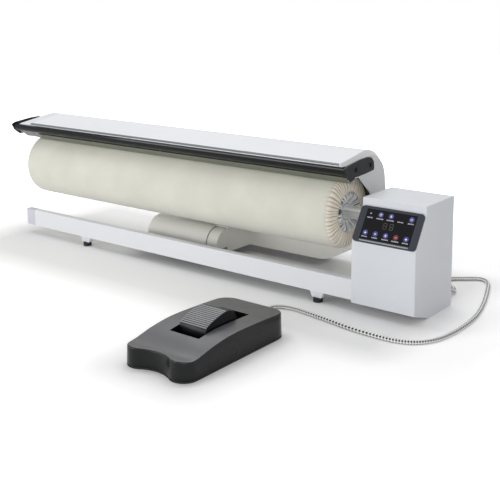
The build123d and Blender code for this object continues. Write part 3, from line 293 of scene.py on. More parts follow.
treadle_grey = surface("treadle_ridges", srgb(140, 141, 144), 0.42, grain=1500, depth=0.00003, mottle=0.05)
treadle_gap = surface("treadle_gaps", srgb(20, 20, 21), 0.5, grain=1500, depth=0.00003, mottle=0.05)
# Cloth tones: crest, then the darker tone deep in a crease. On the cover, its pleated ends and the gathered
# lining that darker tone is painted shade in the creases; the wadding and the insulating mat take it as
# plain tone.
cotton = woven("cotton_cover", srgb(224, 223, 211), srgb(190, 174, 146))
pleated = woven("pleated_cotton", srgb(250, 241, 225), srgb(146, 120, 90))
lining = woven("gathered_lining", srgb(248, 247, 248), srgb(24, 23, 24), thread=0.0007, reach=1.0)
felt = woven("roller_wadding", srgb(206, 200, 186), srgb(170, 160, 140), thread=0.0016, depth=0.0003)
mat_tan = woven("insulating_mat", srgb(176, 158, 122), srgb(110, 94, 66), thread=0.0014, depth=0.0003)

NODE_FINISH = {
    "front_rail": enamel, "rail_end_cap": lilac_end, "foot_brackets": moulding,
    "rubber_feet": rubber, "base_beam": frame_paint, "cross_frame": frame_paint,
    "pedestal_housing": warm_white, "pedestal_front_cover": warm_white,
    "pedestal_end_cap": warm_white, "column_shell": warm_white, "column_back_cover": grey_end,
    "hinge_posts": frame_paint, "hinge_bushes": bronze, "hinge_shaft": steel,
    "hood_arm_left": frame_paint, "hood_arm_right": frame_paint, "hood_ribs": frame_paint,
    "hood_cover": enamel, "hood_front_trim": front_edge_shade_grey, "hood_chrome_strip": bright_edge,
    "hood_front_beam": frame_paint, "hood_end_cap_left": moulding,
    "hood_end_plate_right": plate_grey, "heated_shoe": shoe_coat, "heating_element": steel,
    "shoe_insulation": mat_tan, "shoe_thermostat": steel, "guard_bar": guard_black,
    "guard_arm_left": charcoal, "guard_arm_right": charcoal, "guard_screws": guard_black,
    "lift_actuator": charcoal, "lift_rod": steel, "box_shell": moulding, "box_base": grey_end,
    "box_rear_cover": grey_end, "panel_bezel": slate, "panel_glass": panel_black,
    "circuit_boards": board_green, "bearing_frame": frame_paint, "roller_bearings": steel,
    "roller_shaft": chrome, "roller_drum": tube_metal, "drum_end_discs": tube_metal,
    "roller_padding": felt, "roller_cover": cotton, "gathered_ends": lining,
    "driven_pulley": tube_metal, "drive_belt": rubber, "motor_pulley": steel,
    "drive_motor": charcoal, "mains_inlet": pedal_plastic, "cord_gland": rubber,
    "pedal_cord": braid_material(), "pedal_base": rubber, "pedal_shell": pedal_plastic,
    "pedal_rocker": pedal_plastic, "rocker_axle": steel, "pedal_switches": charcoal,
    "pedal_spring": steel,
}


def dress_nodes():
    """Give every carried-over solid its finish."""
    for name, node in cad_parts.items():
        node.data.materials.clear()
        node.data.materials.append(NODE_FINISH[name])


# ------------------------------------------------------------------ mesh helpers
def piece(name, body, material, verts, faces):
    """New mesh piece that moves with a body."""
    mesh = bpy.data.meshes.new(name)
    mesh.from_pydata([tuple(v) for v in verts], [], faces)
    mesh.shade_smooth()
    mesh.materials.append(material)
    obj = bpy.data.objects.new(name, mesh)
    bpy.context.scene.collection.objects.link(obj)
    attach(obj, body)
    return obj


def ring_faces(rings, count):
    """Quads between successive closed rings of count points each."""
    faces = []
    for ring in range(rings - 1):
        for i in range(count):
            j = (i + 1) % count
            a = ring * count
            b = a + count
            faces.append((a + i, a + j, b + j, b + i))
    return faces


def store_folds(obj, values):
    """Keep how deep each vertex lies in a fold, for the cloth material."""
    attribute = obj.data.attributes.new("fold", "FLOAT", "POINT")
    attribute.data.foreach_set("value", values)


def thicken(obj, thickness):
    """Give a sheet its thickness, inward."""
    modifier = obj.modifiers.new("thickness", "SOLIDIFY")
    modifier.thickness = thickness
    modifier.offset = -1.0


def plates(name, body, material, outlines, thickness):
    """Flat shapes of one piece, each a list of points and the direction it is raised in."""
    mesh = bmesh.new()
    for points, raise_by in outlines:
        low = [mesh.verts.new(p) for p in points]
        high = [mesh.verts.new(p + raise_by * thickness) for p in points]
        mesh.faces.new(reversed(low))
        mesh.faces.new(high)
        for i in range(len(points)):
            j = (i + 1) % len(points)
            mesh.faces.new((low[i], low[j], high[j], high[i]))
    data = bpy.data.meshes.new(name)
    bmesh.ops.recalc_face_normals(mesh, faces=mesh.faces)
    mesh.to_mesh(data)
    mesh.free()
    data.materials.append(material)
    obj = bpy.data.objects.new(name, data)
    bpy.context.scene.collection.objects.link(obj)
    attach(obj, body)
    return obj


# ------------------------------------------------------------------ cord
CORD_ROUTE = [
    (100, 161, 16), (100, 175, 16), (101, 189, 10), (101, 203, 3.7), (94, 218, 3.7), (80, 230, 3.7),
    (66, 241, 3.7), (58, 256, 3.7), (68, 272, 3.7), (88, 286, 3.7), (107, 302, 3.7), (124, 298, 3.7),
    (137, 278, 3.7), (149, 245, 3.7), (164, 203, 3.7), (180, 151, 3.7), (192, 98, 3.7), (195, 45, 3.7),
    (193, 2, 3.7), (186, -36, 3.7), (168, -65, 3.7), (139, -80, 3.7), (98, -81, 3.7), (46, -77, 3.7),
    (-6, -66, 3.7), (-50, -59, 3.7), (-86, -54, 3.7), (-112, -61, 3.7), (-122, -80, 3.7), (-113, -101, 3.7),
    (-98, -118, 6), (-91, -138, 11), (-91, -155, 12),
]


def add_cord():
    """Foot switch cord on its route from the box's gland to the switch."""
    cord_radius = 0.0036
    curve = bpy.data.curves.new("braided_cord", "CURVE")
    curve.dimensions = "3D"
    curve.bevel_depth = cord_radius
    curve.bevel_resolution = 5
    curve.resolution_u = 10
    curve.use_fill_caps = True
    spline = curve.splines.new("NURBS")
    spline.points.add(len(CORD_ROUTE) - 1)
    for point, place in zip(spline.points, CORD_ROUTE):
        point.co = (*at(*place), 1.0)
    spline.order_u = 3
    spline.use_endpoint_u = True
    curve.materials.append(NODE_FINISH["pedal_cord"])
    cord = bpy.data.objects.new("braided_cord", curve)
    bpy.context.scene.collection.objects.link(cord)
    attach(cord, "base")
    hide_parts("pedal_cord")


# ------------------------------------------------------------------ roller cover
roller_low, roller_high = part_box("roller_cover")
roller_axis = Vector((0, (roller_low.y + roller_high.y) / 2, (roller_low.z + roller_high.z) / 2))
roller_radius = (roller_high.y - roller_low.y) / 2
ROUND = 400                 # points round the roller
COVER_INSET = 0.2 * MM      # cover's skin inside the solid it stands for
SHOULDER = 13 * MM          # rounding of the drawn-in ends
TIED_EDGE = 37.5 * MM       # radius of the cover's drawn-in edge
PLEATS = 54
SLOW_PLEATS = 37            # slower wave laid over the pleats
GATHERS = 25


def pillow(angle, count, seed, sharpness=0.6):
    """Height from 0 in a crease to 1 on a crest, for uneven pleats round a circle."""
    drift = noise.noise(Vector((3.6 * math.cos(angle), 3.6 * math.sin(angle), seed)))
    turn = (angle / (2 * math.pi) * count + drift) % 1.0
    return math.sin(math.pi * turn) ** sharpness


def round_point(x, radius, angle):
    """Point round the roller's axis."""
    return Vector((x, roller_axis.y + radius * math.cos(angle), roller_axis.z + radius * math.sin(angle)))


def end_stations(end_x, sign):
    """Profile of one drawn-in end from the cylinder to the tied edge: x, radius and pleat depth."""
    full_radius = roller_radius - COVER_INSET
    stations = []
    for inward, depth in ((50, 0.0), (40, 0.03), (32, 0.07), (25, 0.13), (19, 0.25)):
        stations.append((end_x - sign * inward * MM, full_radius, depth * MM))
    steps = 7
    for i in range(steps + 1):
        turn = math.radians(90) * i / steps
        x = end_x - sign * SHOULDER * (1 - math.sin(turn))
        radius = full_radius - SHOULDER * (1 - math.cos(turn))
        stations.append((x, radius, (0.5 + 1.5 * i / steps) * MM))
    inner_start = stations[-1][1]
    for i in range(1, 7):
        share = i / 6
        dome = 1.6 * MM * math.sin(math.pi * share)
        radius = inner_start + (TIED_EDGE - inner_start) * share
        stations.append((end_x + sign * dome, radius, (2.0 - 0.4 * share) * MM))
    return stations


def add_cover():
    """Cotton cover over the padded roller, drawn in at both ends."""
    left = end_stations(roller_low.x, -1)
    right = end_stations(roller_high.x, 1)
    middle = []
    first_x = left[0][0]
    last_x = right[0][0]
    for i in range(1, 12):
        middle.append((first_x + (last_x - first_x) * i / 12, roller_radius - COVER_INSET, 0.0))
    stations = list(reversed(left)) + middle + right
    verts = []
    folds = []
    for number, (x, radius, depth) in enumerate(stations):
        seed = 1.0 if number < len(left) else 7.0
        toward = 1 if number >= len(left) else -1
        for i in range(ROUND):
            angle = 2 * math.pi * i / ROUND
            across = math.cos(angle)
            up = math.sin(angle)
            sway = 0.02 * noise.noise(Vector((4 * across, 4 * up, seed + radius * 60)))
            slow = pillow(angle - sway, SLOW_PLEATS, seed + 4, 1.0)
            height = pillow(angle + sway, PLEATS, seed) * (0.8 + 0.2 * slow)
            softness = 0.25 * MM * noise.noise(Vector((x * 7, 2 * across, 2 * up)))
            end_face = max(0.0, (roller_radius - 2 * MM - radius) / roller_radius)
            drop = depth * (height - 1)
            tilt = min(1.0, end_face * 8)
            verts.append(round_point(
                x + toward * drop * tilt, radius + drop * (1 - tilt) - abs(softness), angle
            ))
            # Crease depth, which the cloth material turns into painted shade.
            folds.append(1 - (1 - height) * min(1.0, depth / (1.1 * MM)))
    faces = ring_faces(len(stations), ROUND)
    cover = piece("cotton_cover", "roller", cotton, verts, faces)
    cover.data.materials.append(pleated)
    for face in cover.data.polygons:
        centre = face.center
        radius = math.hypot(centre.y - roller_axis.y, centre.z - roller_axis.z)
        face.material_index = 1 if radius < roller_radius - 1.6 * MM else 0
    store_folds(cover, folds)
    thicken(cover, 0.9 * MM)
    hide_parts("roller_cover")


def add_gathers():
    """Puffed, puckered cloth rings that close the cover round the shaft."""
    ends = ((roller_high.x, 1, 14.9 * MM, 3.0), (roller_low.x, -1, 8.6 * MM, 11.0))
    verts = []
    folds = []
    faces = []
    rings = 13
    for end_x, sign, hole, seed in ends:
        start = len(verts)
        rim = 39 * MM
        for ring in range(rings):
            share = ring / (rings - 1)
            radius = rim + (hole - rim) * share
            bulge = 3.6 * math.sin(math.pi * min(1.0, share * 1.6)) ** 0.7
            puff = (bulge - 1.5 * (1 - share) - 7.2 * share ** 2.4) * MM
            for i in range(ROUND):
                angle = 2 * math.pi * i / ROUND
                across = math.cos(angle)
                up = math.sin(angle)
                sway = 0.05 * noise.noise(Vector((4 * across, 4 * up, seed + share * 2)))
                height = pillow(angle + sway, GATHERS, seed, 1.1)
                wobble = noise.noise(Vector((5 * across, 5 * up, seed + share * 3)))
                depth = (2.6 * math.sin(math.pi * min(1.0, share + 0.12)) + 0.3) * MM
                lift = puff + depth * (height - 1) + 0.8 * MM * wobble
                verts.append(round_point(end_x + sign * lift, radius, angle))
                # Crease depth for the lining's near-black painted shade, fading out toward the hole.
                folds.append(min(1.0, height + 1.6 * max(0.0, share - 0.72)))
        faces += [tuple(start + v for v in f) for f in ring_faces(rings, ROUND)]
    gathers = piece("gathered_rings", "roller", lining, verts, faces)
    store_folds(gathers, folds)
    thicken(gathers, 1.0 * MM)
    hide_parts("gathered_ends")


def add_insulation():
    """Insulating mat over the heated shoe, with a soft uneven edge."""
    low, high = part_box("shoe_insulation")
    inner = 73.9 * MM
    outer = 81.4 * MM
    start = math.radians(-9.5)
    end = math.radians(111.5)
    around = 60
    along = 70
    verts = []
    folds = []
    for i in range(along + 1):
        x = low.x + 0.3 * MM + (high.x - low.x - 0.6 * MM) * i / along
        profile = []
        for k in range(around + 1):
            angle = start + (end - start) * k / around
            profile.append((inner, angle))
        for k in range(around, -1, -1):
            angle = start + (end - start) * k / around
            profile.append((outer, angle))
        for radius, angle in profile:
            fuzz = noise.noise(Vector((x * 60, angle * 9, radius * 500)))
            inset = 0.5 * MM * abs(fuzz) if radius == outer else 0.0
            verts.append(round_point(x, radius - inset, angle))
            folds.append(0.6 + 0.6 * fuzz)
    count = 2 * (around + 1)
    faces = ring_faces(along + 1, count)
    for k in range(around):
        faces.append((k + 1, k, count - 1 - k, count - 2 - k))
        base = along * count
        faces.append((base + k, base + k + 1, base + count - 2 - k, base + count - 1 - k))
    mat = piece("insulating_mat", "hood", mat_tan, verts, faces)
    store_folds(mat, folds)
    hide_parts("shoe_insulation")


# ------------------------------------------------------------------ control panel
PANEL_BOTTOM = 130.0
PANEL_RISE = 57.0
PANEL_SETBACK = 36.0
PANEL_LENGTH = math.hypot(PANEL_RISE, PANEL_SETBACK)
panel_up = Vector((0, PANEL_SETBACK, PANEL_RISE)) / PANEL_LENGTH
panel_out = Vector((0, -PANEL_RISE, PANEL_SETBACK)) / PANEL_LENGTH
glass_height = 2.2 * MM


def on_panel(x, s, lift=0.0):
    """Point on the panel's glass: x across, s up the slope, in millimetres."""
    return at(x, 0, PANEL_BOTTOM) + panel_up * (s * MM) + panel_out * (glass_height + lift * MM)


STROKE_LIFT = 0.1       # strokes lie above the key discs


def disc(x, s, radius, lift=0.02):
    """Round plate on the glass."""
    sides = 28
    points = []
    for i in range(sides):
        turn = 2 * math.pi * i / sides
        points.append(on_panel(x + radius * math.cos(turn), s + radius * math.sin(turn), lift))
    return points, panel_out


def bar(x0, s0, x1, s1, width):
    """Thin straight stroke on the glass."""
    length = math.hypot(x1 - x0, s1 - s0)
    nx = -(s1 - s0) / length * width / 2
    ns = (x1 - x0) / length * width / 2
    corners = ((x0 + nx, s0 + ns), (x0 - nx, s0 - ns), (x1 - nx, s1 - ns), (x1 + nx, s1 + ns))
    return [on_panel(x, s, STROKE_LIFT) for x, s in corners], panel_out


def hoop(x, s, radius, width, start=0, end=360):
    """Strokes that make a ring or part of one."""
    sides = 20
    strokes = []
    for i in range(sides):
        a = math.radians(start + (end - start) * i / sides)
        b = math.radians(start + (end - start) * (i + 1) / sides)
        strokes.append(bar(
            x + radius * math.cos(a), s + radius * math.sin(a),
            x + radius * math.cos(b), s + radius * math.sin(b), width,
        ))
    return strokes


def glyph(kind, x, s):
    """Generic sign inside a touch key."""
    if kind == "power":
        return hoop(x, s, 1.7, 0.5, 130, 410) + [bar(x, s + 0.4, x, s + 2.3, 0.5)]
    if kind == "clock":
        return hoop(x, s, 2.0, 0.5) + [bar(x, s, x, s + 1.4, 0.45), bar(x, s, x + 1.1, s, 0.45)]
    if kind == "drop":
        tip = [bar(x - 1.1, s, x, s + 2.1, 0.55), bar(x + 1.1, s, x, s + 2.1, 0.55)]
        return hoop(x, s - 0.5, 1.3, 0.6) + tip
    if kind == "arrow":
        head = [bar(x - 1.9, s - 0.8, x, s + 1.3, 0.8), bar(x + 1.9, s - 0.8, x, s + 1.3, 0.8)]
        return head + [bar(x, s - 2, x, s + 1, 0.8)]
    return [bar(x - 1.5, s, x + 1.5, s, 1.4)]


def seven_segments(x, s, width, height, stroke):
    """Plain figure 8 of a number display."""
    half = width / 2
    mid = height / 2
    gap = stroke * 0.6
    marks = []
    for level in (-mid, 0, mid):
        marks.append(bar(x - half + gap, s + level, x + half - gap, s + level, stroke))
    for side in (-half, half):
        marks.append(bar(x + side, s - mid + gap, x + side, s - gap, stroke))
        marks.append(bar(x + side, s + gap, x + side, s + mid - gap, stroke))
    return marks


def caption_marks(x, s, width, rng):
    """Row of tiny dashes under a key."""
    marks = []
    start = x - width / 2
    while start < x + width / 2:
        dash = rng.uniform(0.7, 1.3)
        marks.append(bar(start, s, start + dash, s, rng.uniform(1.7, 2.3)))
        start += dash + 0.45
    return marks


def add_panel_marks():
    """Touch keys, number display and dashes on the glass."""
    rng = random.Random(4)
    columns = (22.7, 42.4, 62.7, 82.3, 101.8)
    top_row = 54.0
    low_row = 18.5
    key_radius = 4.9
    keys = [
        (columns[1], top_row, "clock"), (columns[2], top_row, "drop"), (columns[4], top_row, "power"),
        (columns[0], low_row, "arrow"), (columns[1], low_row, "stop"), (columns[2], low_row, "drop"),
        (columns[4], low_row, "arrow"),
    ]
    red_key = (columns[3], low_row)
    # Every mark below is given a faint glow, which is painted light.
    navy = glowing("key_navy", srgb(58, 58, 112), 0.4)
    lilac = glowing("key_lilac", srgb(206, 206, 240), 0.8)
    red_dim = glowing("key_red", srgb(92, 34, 42), 0.3)
    red_bright = glowing("key_red_sign", srgb(226, 120, 116), 0.7)
    grey = glowing("caption_grey", srgb(158, 160, 168), 0.45)
    dim_red = glowing("digit_red", srgb(84, 54, 54), 0.2)
    dim_green = glowing("digit_green", srgb(64, 80, 70), 0.2)
    thin = 0.06 * MM

    def mark(name, material, outlines):
        plates(name, "base", material, outlines, thin)

    mark("key_discs", navy, [disc(x, s, key_radius) for x, s, _ in keys])
    mark("key_signs", lilac, [stroke for x, s, kind in keys for stroke in glyph(kind, x, s)])
    mark("key_red_disc", red_dim, [disc(*red_key, key_radius)])
    mark("key_red_sign", red_bright, glyph("stop", *red_key))
    captions = []
    for row in (top_row - 7.6, low_row - 7.2):
        for x in columns:
            captions += caption_marks(x, row, rng.uniform(10, 14), rng)
    captions.append(disc(columns[0], top_row, 1.3, STROKE_LIFT))
    mark("caption_dashes", grey, captions)
    mark("digit_left", dim_red, seven_segments(56.2, 35.0, 6.2, 10.6, 0.9))
    mark("digit_right", dim_green, seven_segments(68.6, 35.0, 6.2, 10.6, 0.9))


def add_chin_strip():
    """Pale rubbing strip along the lower edge of the bezel."""
    lift = 0.3
    corners = ((15, 2.6), (110, 2.6), (110, 5.0), (15, 5.0))
    strip = plates("bezel_strip", "base", bevel_grey,
                   [([on_panel(x, s, lift) for x, s in corners], panel_out)], 0.5 * MM)
    bevel = strip.modifiers.new("edge", "BEVEL")
    bevel.width = 0.2 * MM
    bevel.segments = 2


# ------------------------------------------------------------------ foot switch
PEDAL_X = -91.0
PEDAL_FRONT = -408.0
PEDAL_REAR = -155.0
PEDAL_HALF = 67.0
LOBE = 24.0
NOTCH = 60.0
REAR_CORNER = 28.0
SLOT = (-121.0, -61.0, -336.5, -212.5)


def pedal_outline(inset):
    """Plan of the foot switch as evenly spread points, starting at the rear."""
    half = PEDAL_HALF - inset
    lobe_x = PEDAL_HALF - LOBE
    lobe_y = PEDAL_FRONT + LOBE
    lobe = LOBE - inset
    notch = NOTCH + inset
    notch_y = lobe_y - math.sqrt((LOBE + NOTCH) ** 2 - lobe_x ** 2)
    meet = math.atan2(lobe_y - notch_y, lobe_x)
    corner = REAR_CORNER - inset
    corner_x = PEDAL_HALF - REAR_CORNER
    corner_y = PEDAL_REAR - REAR_CORNER
    right = []

    def sweep(cx, cy, radius, start, end, steps):
        for i in range(steps + 1):
            turn = start + (end - start) * i / steps
            right.append((cx + radius * math.cos(turn), cy + radius * math.sin(turn)))

    right.append((0.0, PEDAL_REAR - inset))
    sweep(corner_x, corner_y, corner, math.radians(90), 0, 12)
    for i in range(1, 24):
        right.append((half, corner_y + (lobe_y - corner_y) * i / 24))
    sweep(lobe_x, lobe_y, lobe, 0, -(math.pi - meet), 16)
    sweep(0, notch_y, notch, meet, math.radians(90), 10)
    unique = [p for i, p in enumerate(right) if i == 0 or math.dist(p, right[i - 1]) > 0.01]
    mirrored = [(-x, y) for x, y in reversed(unique[1:-1])]
    return [(PEDAL_X + x, y) for x, y in unique + mirrored]


WAVE = ((-410, 33.2), (-383, 31.9), (-343, 40.0), (-298, 45.1), (-238, 44.6), (-153, 40.5))


def pedal_top(y):
    """Height of the foot switch's wavy top."""
    y = max(WAVE[0][0], min(WAVE[-1][0], y))
    for i in range(len(WAVE) - 1):
        (y0, z0), (y1, z1) = WAVE[i], WAVE[i + 1]
        if y <= y1:
            before = WAVE[max(0, i - 1)]
            after = WAVE[min(len(WAVE) - 1, i + 2)]
            slope0 = (z1 - before[1]) / (y1 - before[0])
            slope1 = (after[1] - z0) / (after[0] - y0)
            run = y1 - y0
            t = (y - y0) / run
            return (
                z0 * (2 * t ** 3 - 3 * t ** 2 + 1) + z1 * (3 * t ** 2 - 2 * t ** 3)
                + slope0 * run * (t ** 3 - 2 * t ** 2 + t) + slope1 * run * (t ** 3 - t ** 2)
            )
    return WAVE[-1][1]


def slot_point(x, y):
    """Where the line from the slot's middle to a point crosses the slot's edge."""
    left, right, front, rear = SLOT
    cx = (left + right) / 2
    cy = (front + rear) / 2
    dx = x - cx
    dy = y - cy
    reach = min((right - cx) / abs(dx) if dx else math.inf, (rear - cy) / abs(dy) if dy else math.inf)
    return cx + dx * reach, cy + dy * reach


def add_pedal_cover():
    """Moulded upper shell of the foot switch with softly rounded edges and its slot."""
    bottom = 3.2
    edge = 2.4
    rings = []

    def wall(inset, height):
        rings.append([(x, y, height(y)) for x, y in pedal_outline(inset)])

    wall(0.2, lambda y: bottom)
    wall(0.0, lambda y: bottom + 0.8)
    for share in (0.33, 0.66):
        wall(0.9 * share, lambda y, part=share: bottom + (pedal_top(y) - edge - bottom) * part)
    for i in range(5):
        turn = math.radians(90) * i / 4
        wall(0.9 + edge * (1 - math.cos(turn)),
             lambda y, rise=math.sin(turn): pedal_top(y) - edge + edge * rise)
    rim = rings[-1]
    wall_bands = len(rings) - 2
    steps = 12
    for i in range(1, steps + 1):
        share = i / steps
        ring = []
        for x, y, _ in rim:
            sx, sy = slot_point(x, y)
            px = x + (sx - x) * share
            py = y + (sy - y) * share
            ring.append((px, py, pedal_top(py)))
        rings.append(ring)
    rings.append([(x, y, z - 0.8) for x, y, z in rings[-1]])
    rings.append([(x, y, 22.0) for x, y, z in rings[-1]])
    count = len(rim)
    verts = [at(*p) for ring in rings for p in ring]
    faces = [tuple(reversed(f)) for f in ring_faces(len(rings), count)]
    cover = piece("pedal_cover", "base", pedal_plastic, verts, faces)
    cover.data.materials.append(pedal_satin)
    first_top = wall_bands * count
    last_top = (wall_bands + 1 + steps) * count
    for number, face in enumerate(cover.data.polygons):
        face.material_index = 1 if first_top <= number < last_top else 0
    thicken(cover, 1.6 * MM)
    cover.data.set_sharp_from_angle(angle=math.radians(50))
    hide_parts("pedal_shell")


def treadle_line(share):
    """Point and outward direction on the treadle's ramp, from its nose (0) to its crest (1)."""
    nose, halfway, crest = (-317.0, 48.8), (-293.5, 58.9), (-263.4, 64.5)
    before = 2 * share * (1 - share)
    control = (2 * halfway[0] - (nose[0] + crest[0]) / 2, 2 * halfway[1] - (nose[1] + crest[1]) / 2)
    weights = ((1 - share) ** 2, before, share ** 2)
    y, z = (sum(w * p[i] for w, p in zip(weights, (nose, control, crest))) for i in (0, 1))
    dy, dz = (
        2 * (1 - share) * (control[i] - nose[i]) + 2 * share * (crest[i] - control[i]) for i in (0, 1)
    )
    reach = math.hypot(dy, dz)
    return (y, z), (-dz / reach, dy / reach)


def add_treadle():
    """Ribbed treadle of the foot switch."""
    axle_y = -270.0
    half = 27.0
    ridges = 12
    ridge = ((0.0, -1.1), (0.16, 0.1), (0.3, 0.7), (0.66, 0.7), (0.8, 0.1), (0.94, -1.1))
    profile = [(-316.5, 32.0), (-317.2, 46.0)]
    for i in range(ridges):
        for part, height in ridge:
            (y, z), (out_y, out_z) = treadle_line(0.02 + 0.96 * (i + part) / ridges)
            profile.append((y + out_y * height, z + out_z * height))
    for i in range(10):
        turn = math.radians(96 - 96 * i / 9)
        profile.append((-263.0 + 24.5 * math.cos(turn), 36.0 + 28.3 * math.sin(turn)))
    ridge_end = 2 + len(ridge) * ridges
    profile += [
        (-240, 30.9), (axle_y + 9, 29.5), (axle_y + 6, 20.5), (axle_y - 6, 20.5), (axle_y - 9, 29.5),
    ]
    count = len(profile)
    centre_y = sum(p[0] for p in profile) / count
    centre_z = sum(p[1] for p in profile) / count
    verts = []
    for x, inset in ((-half, 0.6), (-half + 0.8, 0.0), (half - 0.8, 0.0), (half, 0.6)):
        for y, z in profile:
            reach = math.hypot(y - centre_y, z - centre_z)
            inner_y = y - (y - centre_y) / reach * inset
            inner_z = z - (z - centre_z) / reach * inset
            verts.append(at(PEDAL_X + x, inner_y, inner_z))
    faces = ring_faces(4, count)
    faces.append(tuple(reversed(range(count))))
    faces.append(tuple(range(3 * count, 4 * count)))
    treadle = piece("treadle", "rocker", pedal_plastic, verts, faces)
    treadle.data.materials.append(treadle_grey)
    treadle.data.materials.append(treadle_gap)
    for number, face in enumerate(treadle.data.polygons[:3 * count]):
        step = number % count
        if 1 <= step < ridge_end:
            face.material_index = 2 if (step - 2) % len(ridge) in (0, 5) else 1
    mesh = bmesh.new()
    mesh.from_mesh(treadle.data)
    bmesh.ops.recalc_face_normals(mesh, faces=mesh.faces)
    mesh.to_mesh(treadle.data)
    mesh.free()
    treadle.data.set_sharp_from_angle(angle=math.radians(35))
    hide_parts("pedal_rocker")


def add_grommet():
    """Moulded ring where the cord enters the foot switch."""
    centre = at(*CORD_ROUTE[-1])
    sides = 32
    profile = ((4.0, -1.0), (6.6, -1.0), (6.6, 2.6), (5.6, 5.0), (4.0, 7.0))
    verts = []
    for radius, out in profile:
        for i in range(sides):
            turn = 2 * math.pi * i / sides
            verts.append(centre + Vector((radius * math.cos(turn), out, radius * math.sin(turn))) * MM)
    faces = ring_faces(len(profile), sides)
    last = (len(profile) - 1) * sides
    for i in range(sides):
        j = (i + 1) % sides
        faces.append((last + i, last + j, j, i))
    grommet = piece("cord_grommet", "base", rubber, verts, faces)
    grommet.data.set_sharp_from_angle(angle=math.radians(40))


# ------------------------------------------------------------------ small fittings
def add_screw_sockets():
    """Dark hexagon sockets in the guard's four screw heads."""
    low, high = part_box("guard_screws")
    places = ((102.6, 245.6), (52.2, 244.0))
    outlines = []
    for x, out in ((high.x, 1), (low.x, -1)):
        for y, z in places:
            centre = at(0, y, z)
            points = []
            for i in range(6):
                turn = math.radians(60 * i)
                points.append(Vector((x - out * 0.02 * MM, centre.y + 1.9 * MM * math.cos(turn),
                                      centre.z + 1.9 * MM * math.sin(turn))))
            outlines.append((points, Vector((out, 0, 0))))
    plates("screw_sockets", "hood", rubber, outlines, 0.05 * MM)


# ------------------------------------------------------------------ stage and light
# Rectangles on the floor that hold the shadows, as middle and half size in metres.
IRONER_PLAN = ((0.02, 0.15), (0.50, 0.20))
SWITCH_PLAN = ((0.32, -0.21), (0.06, 0.12))
# Outside them the floor glows a little for the camera: the distance where the glow stops growing, and its
# strength there, first close by and then farther out.
NEAR_GLOW = (0.08, 0.24)
FAR_GLOW = (0.5, 1.0)
FAR_GLOW_START = 0.05
WORLD_LIGHT = 0.44


def footprint_distance(s, centre, half):
    """Distance on the floor from a rectangle given by its middle and half size."""
    value = s.place()
    steps = (
        ("SUBTRACT", (*centre, 0.0)), ("ABSOLUTE", None),
        ("SUBTRACT", (*half, 0.0)), ("MAXIMUM", (0.0, 0.0, 0.0)),
    )
    for operation, operand in steps:
        node = s.add("ShaderNodeVectorMath", operation=operation)
        s.link(value, node.inputs[0])
        if operand is not None:
            node.inputs[1].default_value = operand
        value = node.outputs["Vector"]
    node = s.add("ShaderNodeVectorMath", operation="LENGTH")
    s.link(value, node.inputs[0])
    return node.outputs["Value"]


def rise(s, distance, near, far, high):
    """Number that grows from 0 with the distance."""
    node = s.add("ShaderNodeMapRange")
    for socket, value in (("From Min", near), ("From Max", far), ("To Min", 0.0), ("To Max", high)):
        node.inputs[socket].default_value = value
    s.link(distance, node.inputs["Value"])
    return node.outputs["Result"]


def combine(s, operation, first, second):
    """Two numbers put together."""
    node = s.add("ShaderNodeMath", operation=operation)
    s.link(first, node.inputs[0])
    s.link(second, node.inputs[1])
    return node.outputs["Value"]


def add_stage():
    """Pale floor that shows white to the camera and keeps the object's shadow."""
    size = 6.0
    mesh = bpy.data.meshes.new("floor")
    corners = [(-size, -size, 0), (size, -size, 0), (size, size, 0), (-size, size, 0)]
    mesh.from_pydata(corners, [], [(0, 1, 2, 3)])
    floor = bpy.data.objects.new("floor", mesh)
    floor.location.z = -0.0002      # just clear of the feet
    bpy.context.scene.collection.objects.link(floor)
    s = Shader("floor")
    s.bsdf.inputs["Roughness"].default_value = 0.9
    tone = s.tint(s.grain(2.0), (0.92, 0.92, 0.92, 1), (0.94, 0.94, 0.94, 1))
    s.link(tone, s.bsdf.inputs["Base Color"])
    path = s.add("ShaderNodeLightPath")
    ironer = footprint_distance(s, *IRONER_PLAN)
    switch = footprint_distance(s, *SWITCH_PLAN)
    distance = combine(s, "MINIMUM", ironer, switch)
    close = rise(s, distance, 0.0, *NEAR_GLOW)
    wide = rise(s, distance, FAR_GLOW_START, *FAR_GLOW)
    glow = combine(s, "MAXIMUM", close, wide)
    seen = combine(s, "MULTIPLY", glow, path.outputs["Is Camera Ray"])
    s.bsdf.inputs["Emission Color"].default_value = (1, 1, 1, 1)
    s.link(seen, s.bsdf.inputs["Emission Strength"])
    mesh.materials.append(s.material)


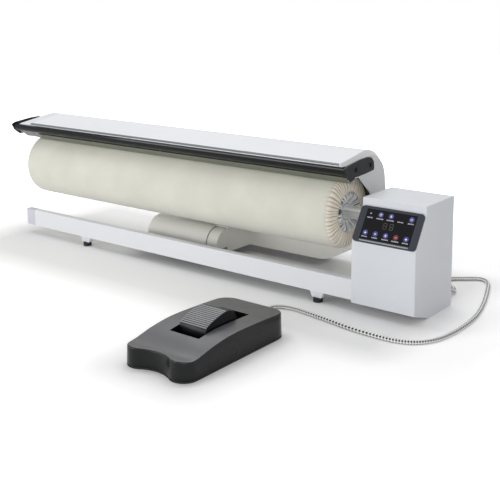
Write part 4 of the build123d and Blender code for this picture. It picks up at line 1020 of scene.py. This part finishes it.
def add_world():
    """Even grey surroundings that the camera and reflections see as white."""
    world = bpy.data.worlds.new("studio")
    world.use_nodes = True
    tree = world.node_tree
    background = tree.nodes["Background"]
    path = tree.nodes.new("ShaderNodeLightPath")
    seen = tree.nodes.new("ShaderNodeMath")
    seen.operation = "MAXIMUM"
    tree.links.new(path.outputs["Is Camera Ray"], seen.inputs[0])
    tree.links.new(path.outputs["Is Transmission Ray"], seen.inputs[1])
    mirrored = tree.nodes.new("ShaderNodeMath")
    mirrored.operation = "MAXIMUM"
    tree.links.new(seen.outputs["Value"], mirrored.inputs[0])
    tree.links.new(path.outputs["Is Glossy Ray"], mirrored.inputs[1])
    strength = tree.nodes.new("ShaderNodeMapRange")
    strength.inputs["To Min"].default_value = WORLD_LIGHT
    strength.inputs["To Max"].default_value = 1.0
    tree.links.new(mirrored.outputs["Value"], strength.inputs["Value"])
    tree.links.new(strength.outputs["Result"], background.inputs["Strength"])
    background.inputs["Color"].default_value = (1, 1, 1, 1)
    bpy.context.scene.world = world


def add_light(name, place, target, size, power):
    """Soft rectangular lamp aimed at a point."""
    data = bpy.data.lights.new(name, "AREA")
    data.shape = "RECTANGLE"
    data.size, data.size_y = size
    data.energy = power
    lamp = bpy.data.objects.new(name, data)
    lamp.location = place
    lamp.rotation_euler = (Vector(target) - Vector(place)).to_track_quat("-Z", "Y").to_euler()
    bpy.context.scene.collection.objects.link(lamp)


def add_lights():
    """Low key from the front left, fill from the front right, narrow top light and a back light."""
    middle = (0.0, 0.0, 0.12)
    add_light("key", (-1.2, -2.2, 0.5), middle, (2.0, 0.7), 21)
    add_light("fill", (1.5, -1.6, 0.55), middle, (1.0, 0.8), 8)
    add_light("top", (-0.35, 0.3, 2.2), middle, (2.2, 0.4), 15.5)
    add_light("back", (-0.8, 1.7, 1.9), middle, (1.8, 0.7), 8.5)


add_camera()
add_cord()
dress_nodes()
add_gathers()
add_cover()
add_insulation()
add_panel_marks()
add_chin_strip()
add_pedal_cover()
add_treadle()
add_grommet()
add_screw_sockets()
add_stage()
add_world()
add_lights()
bpy.context.scene.view_settings.view_transform = "Standard"

bpy.context.view_layer.update()
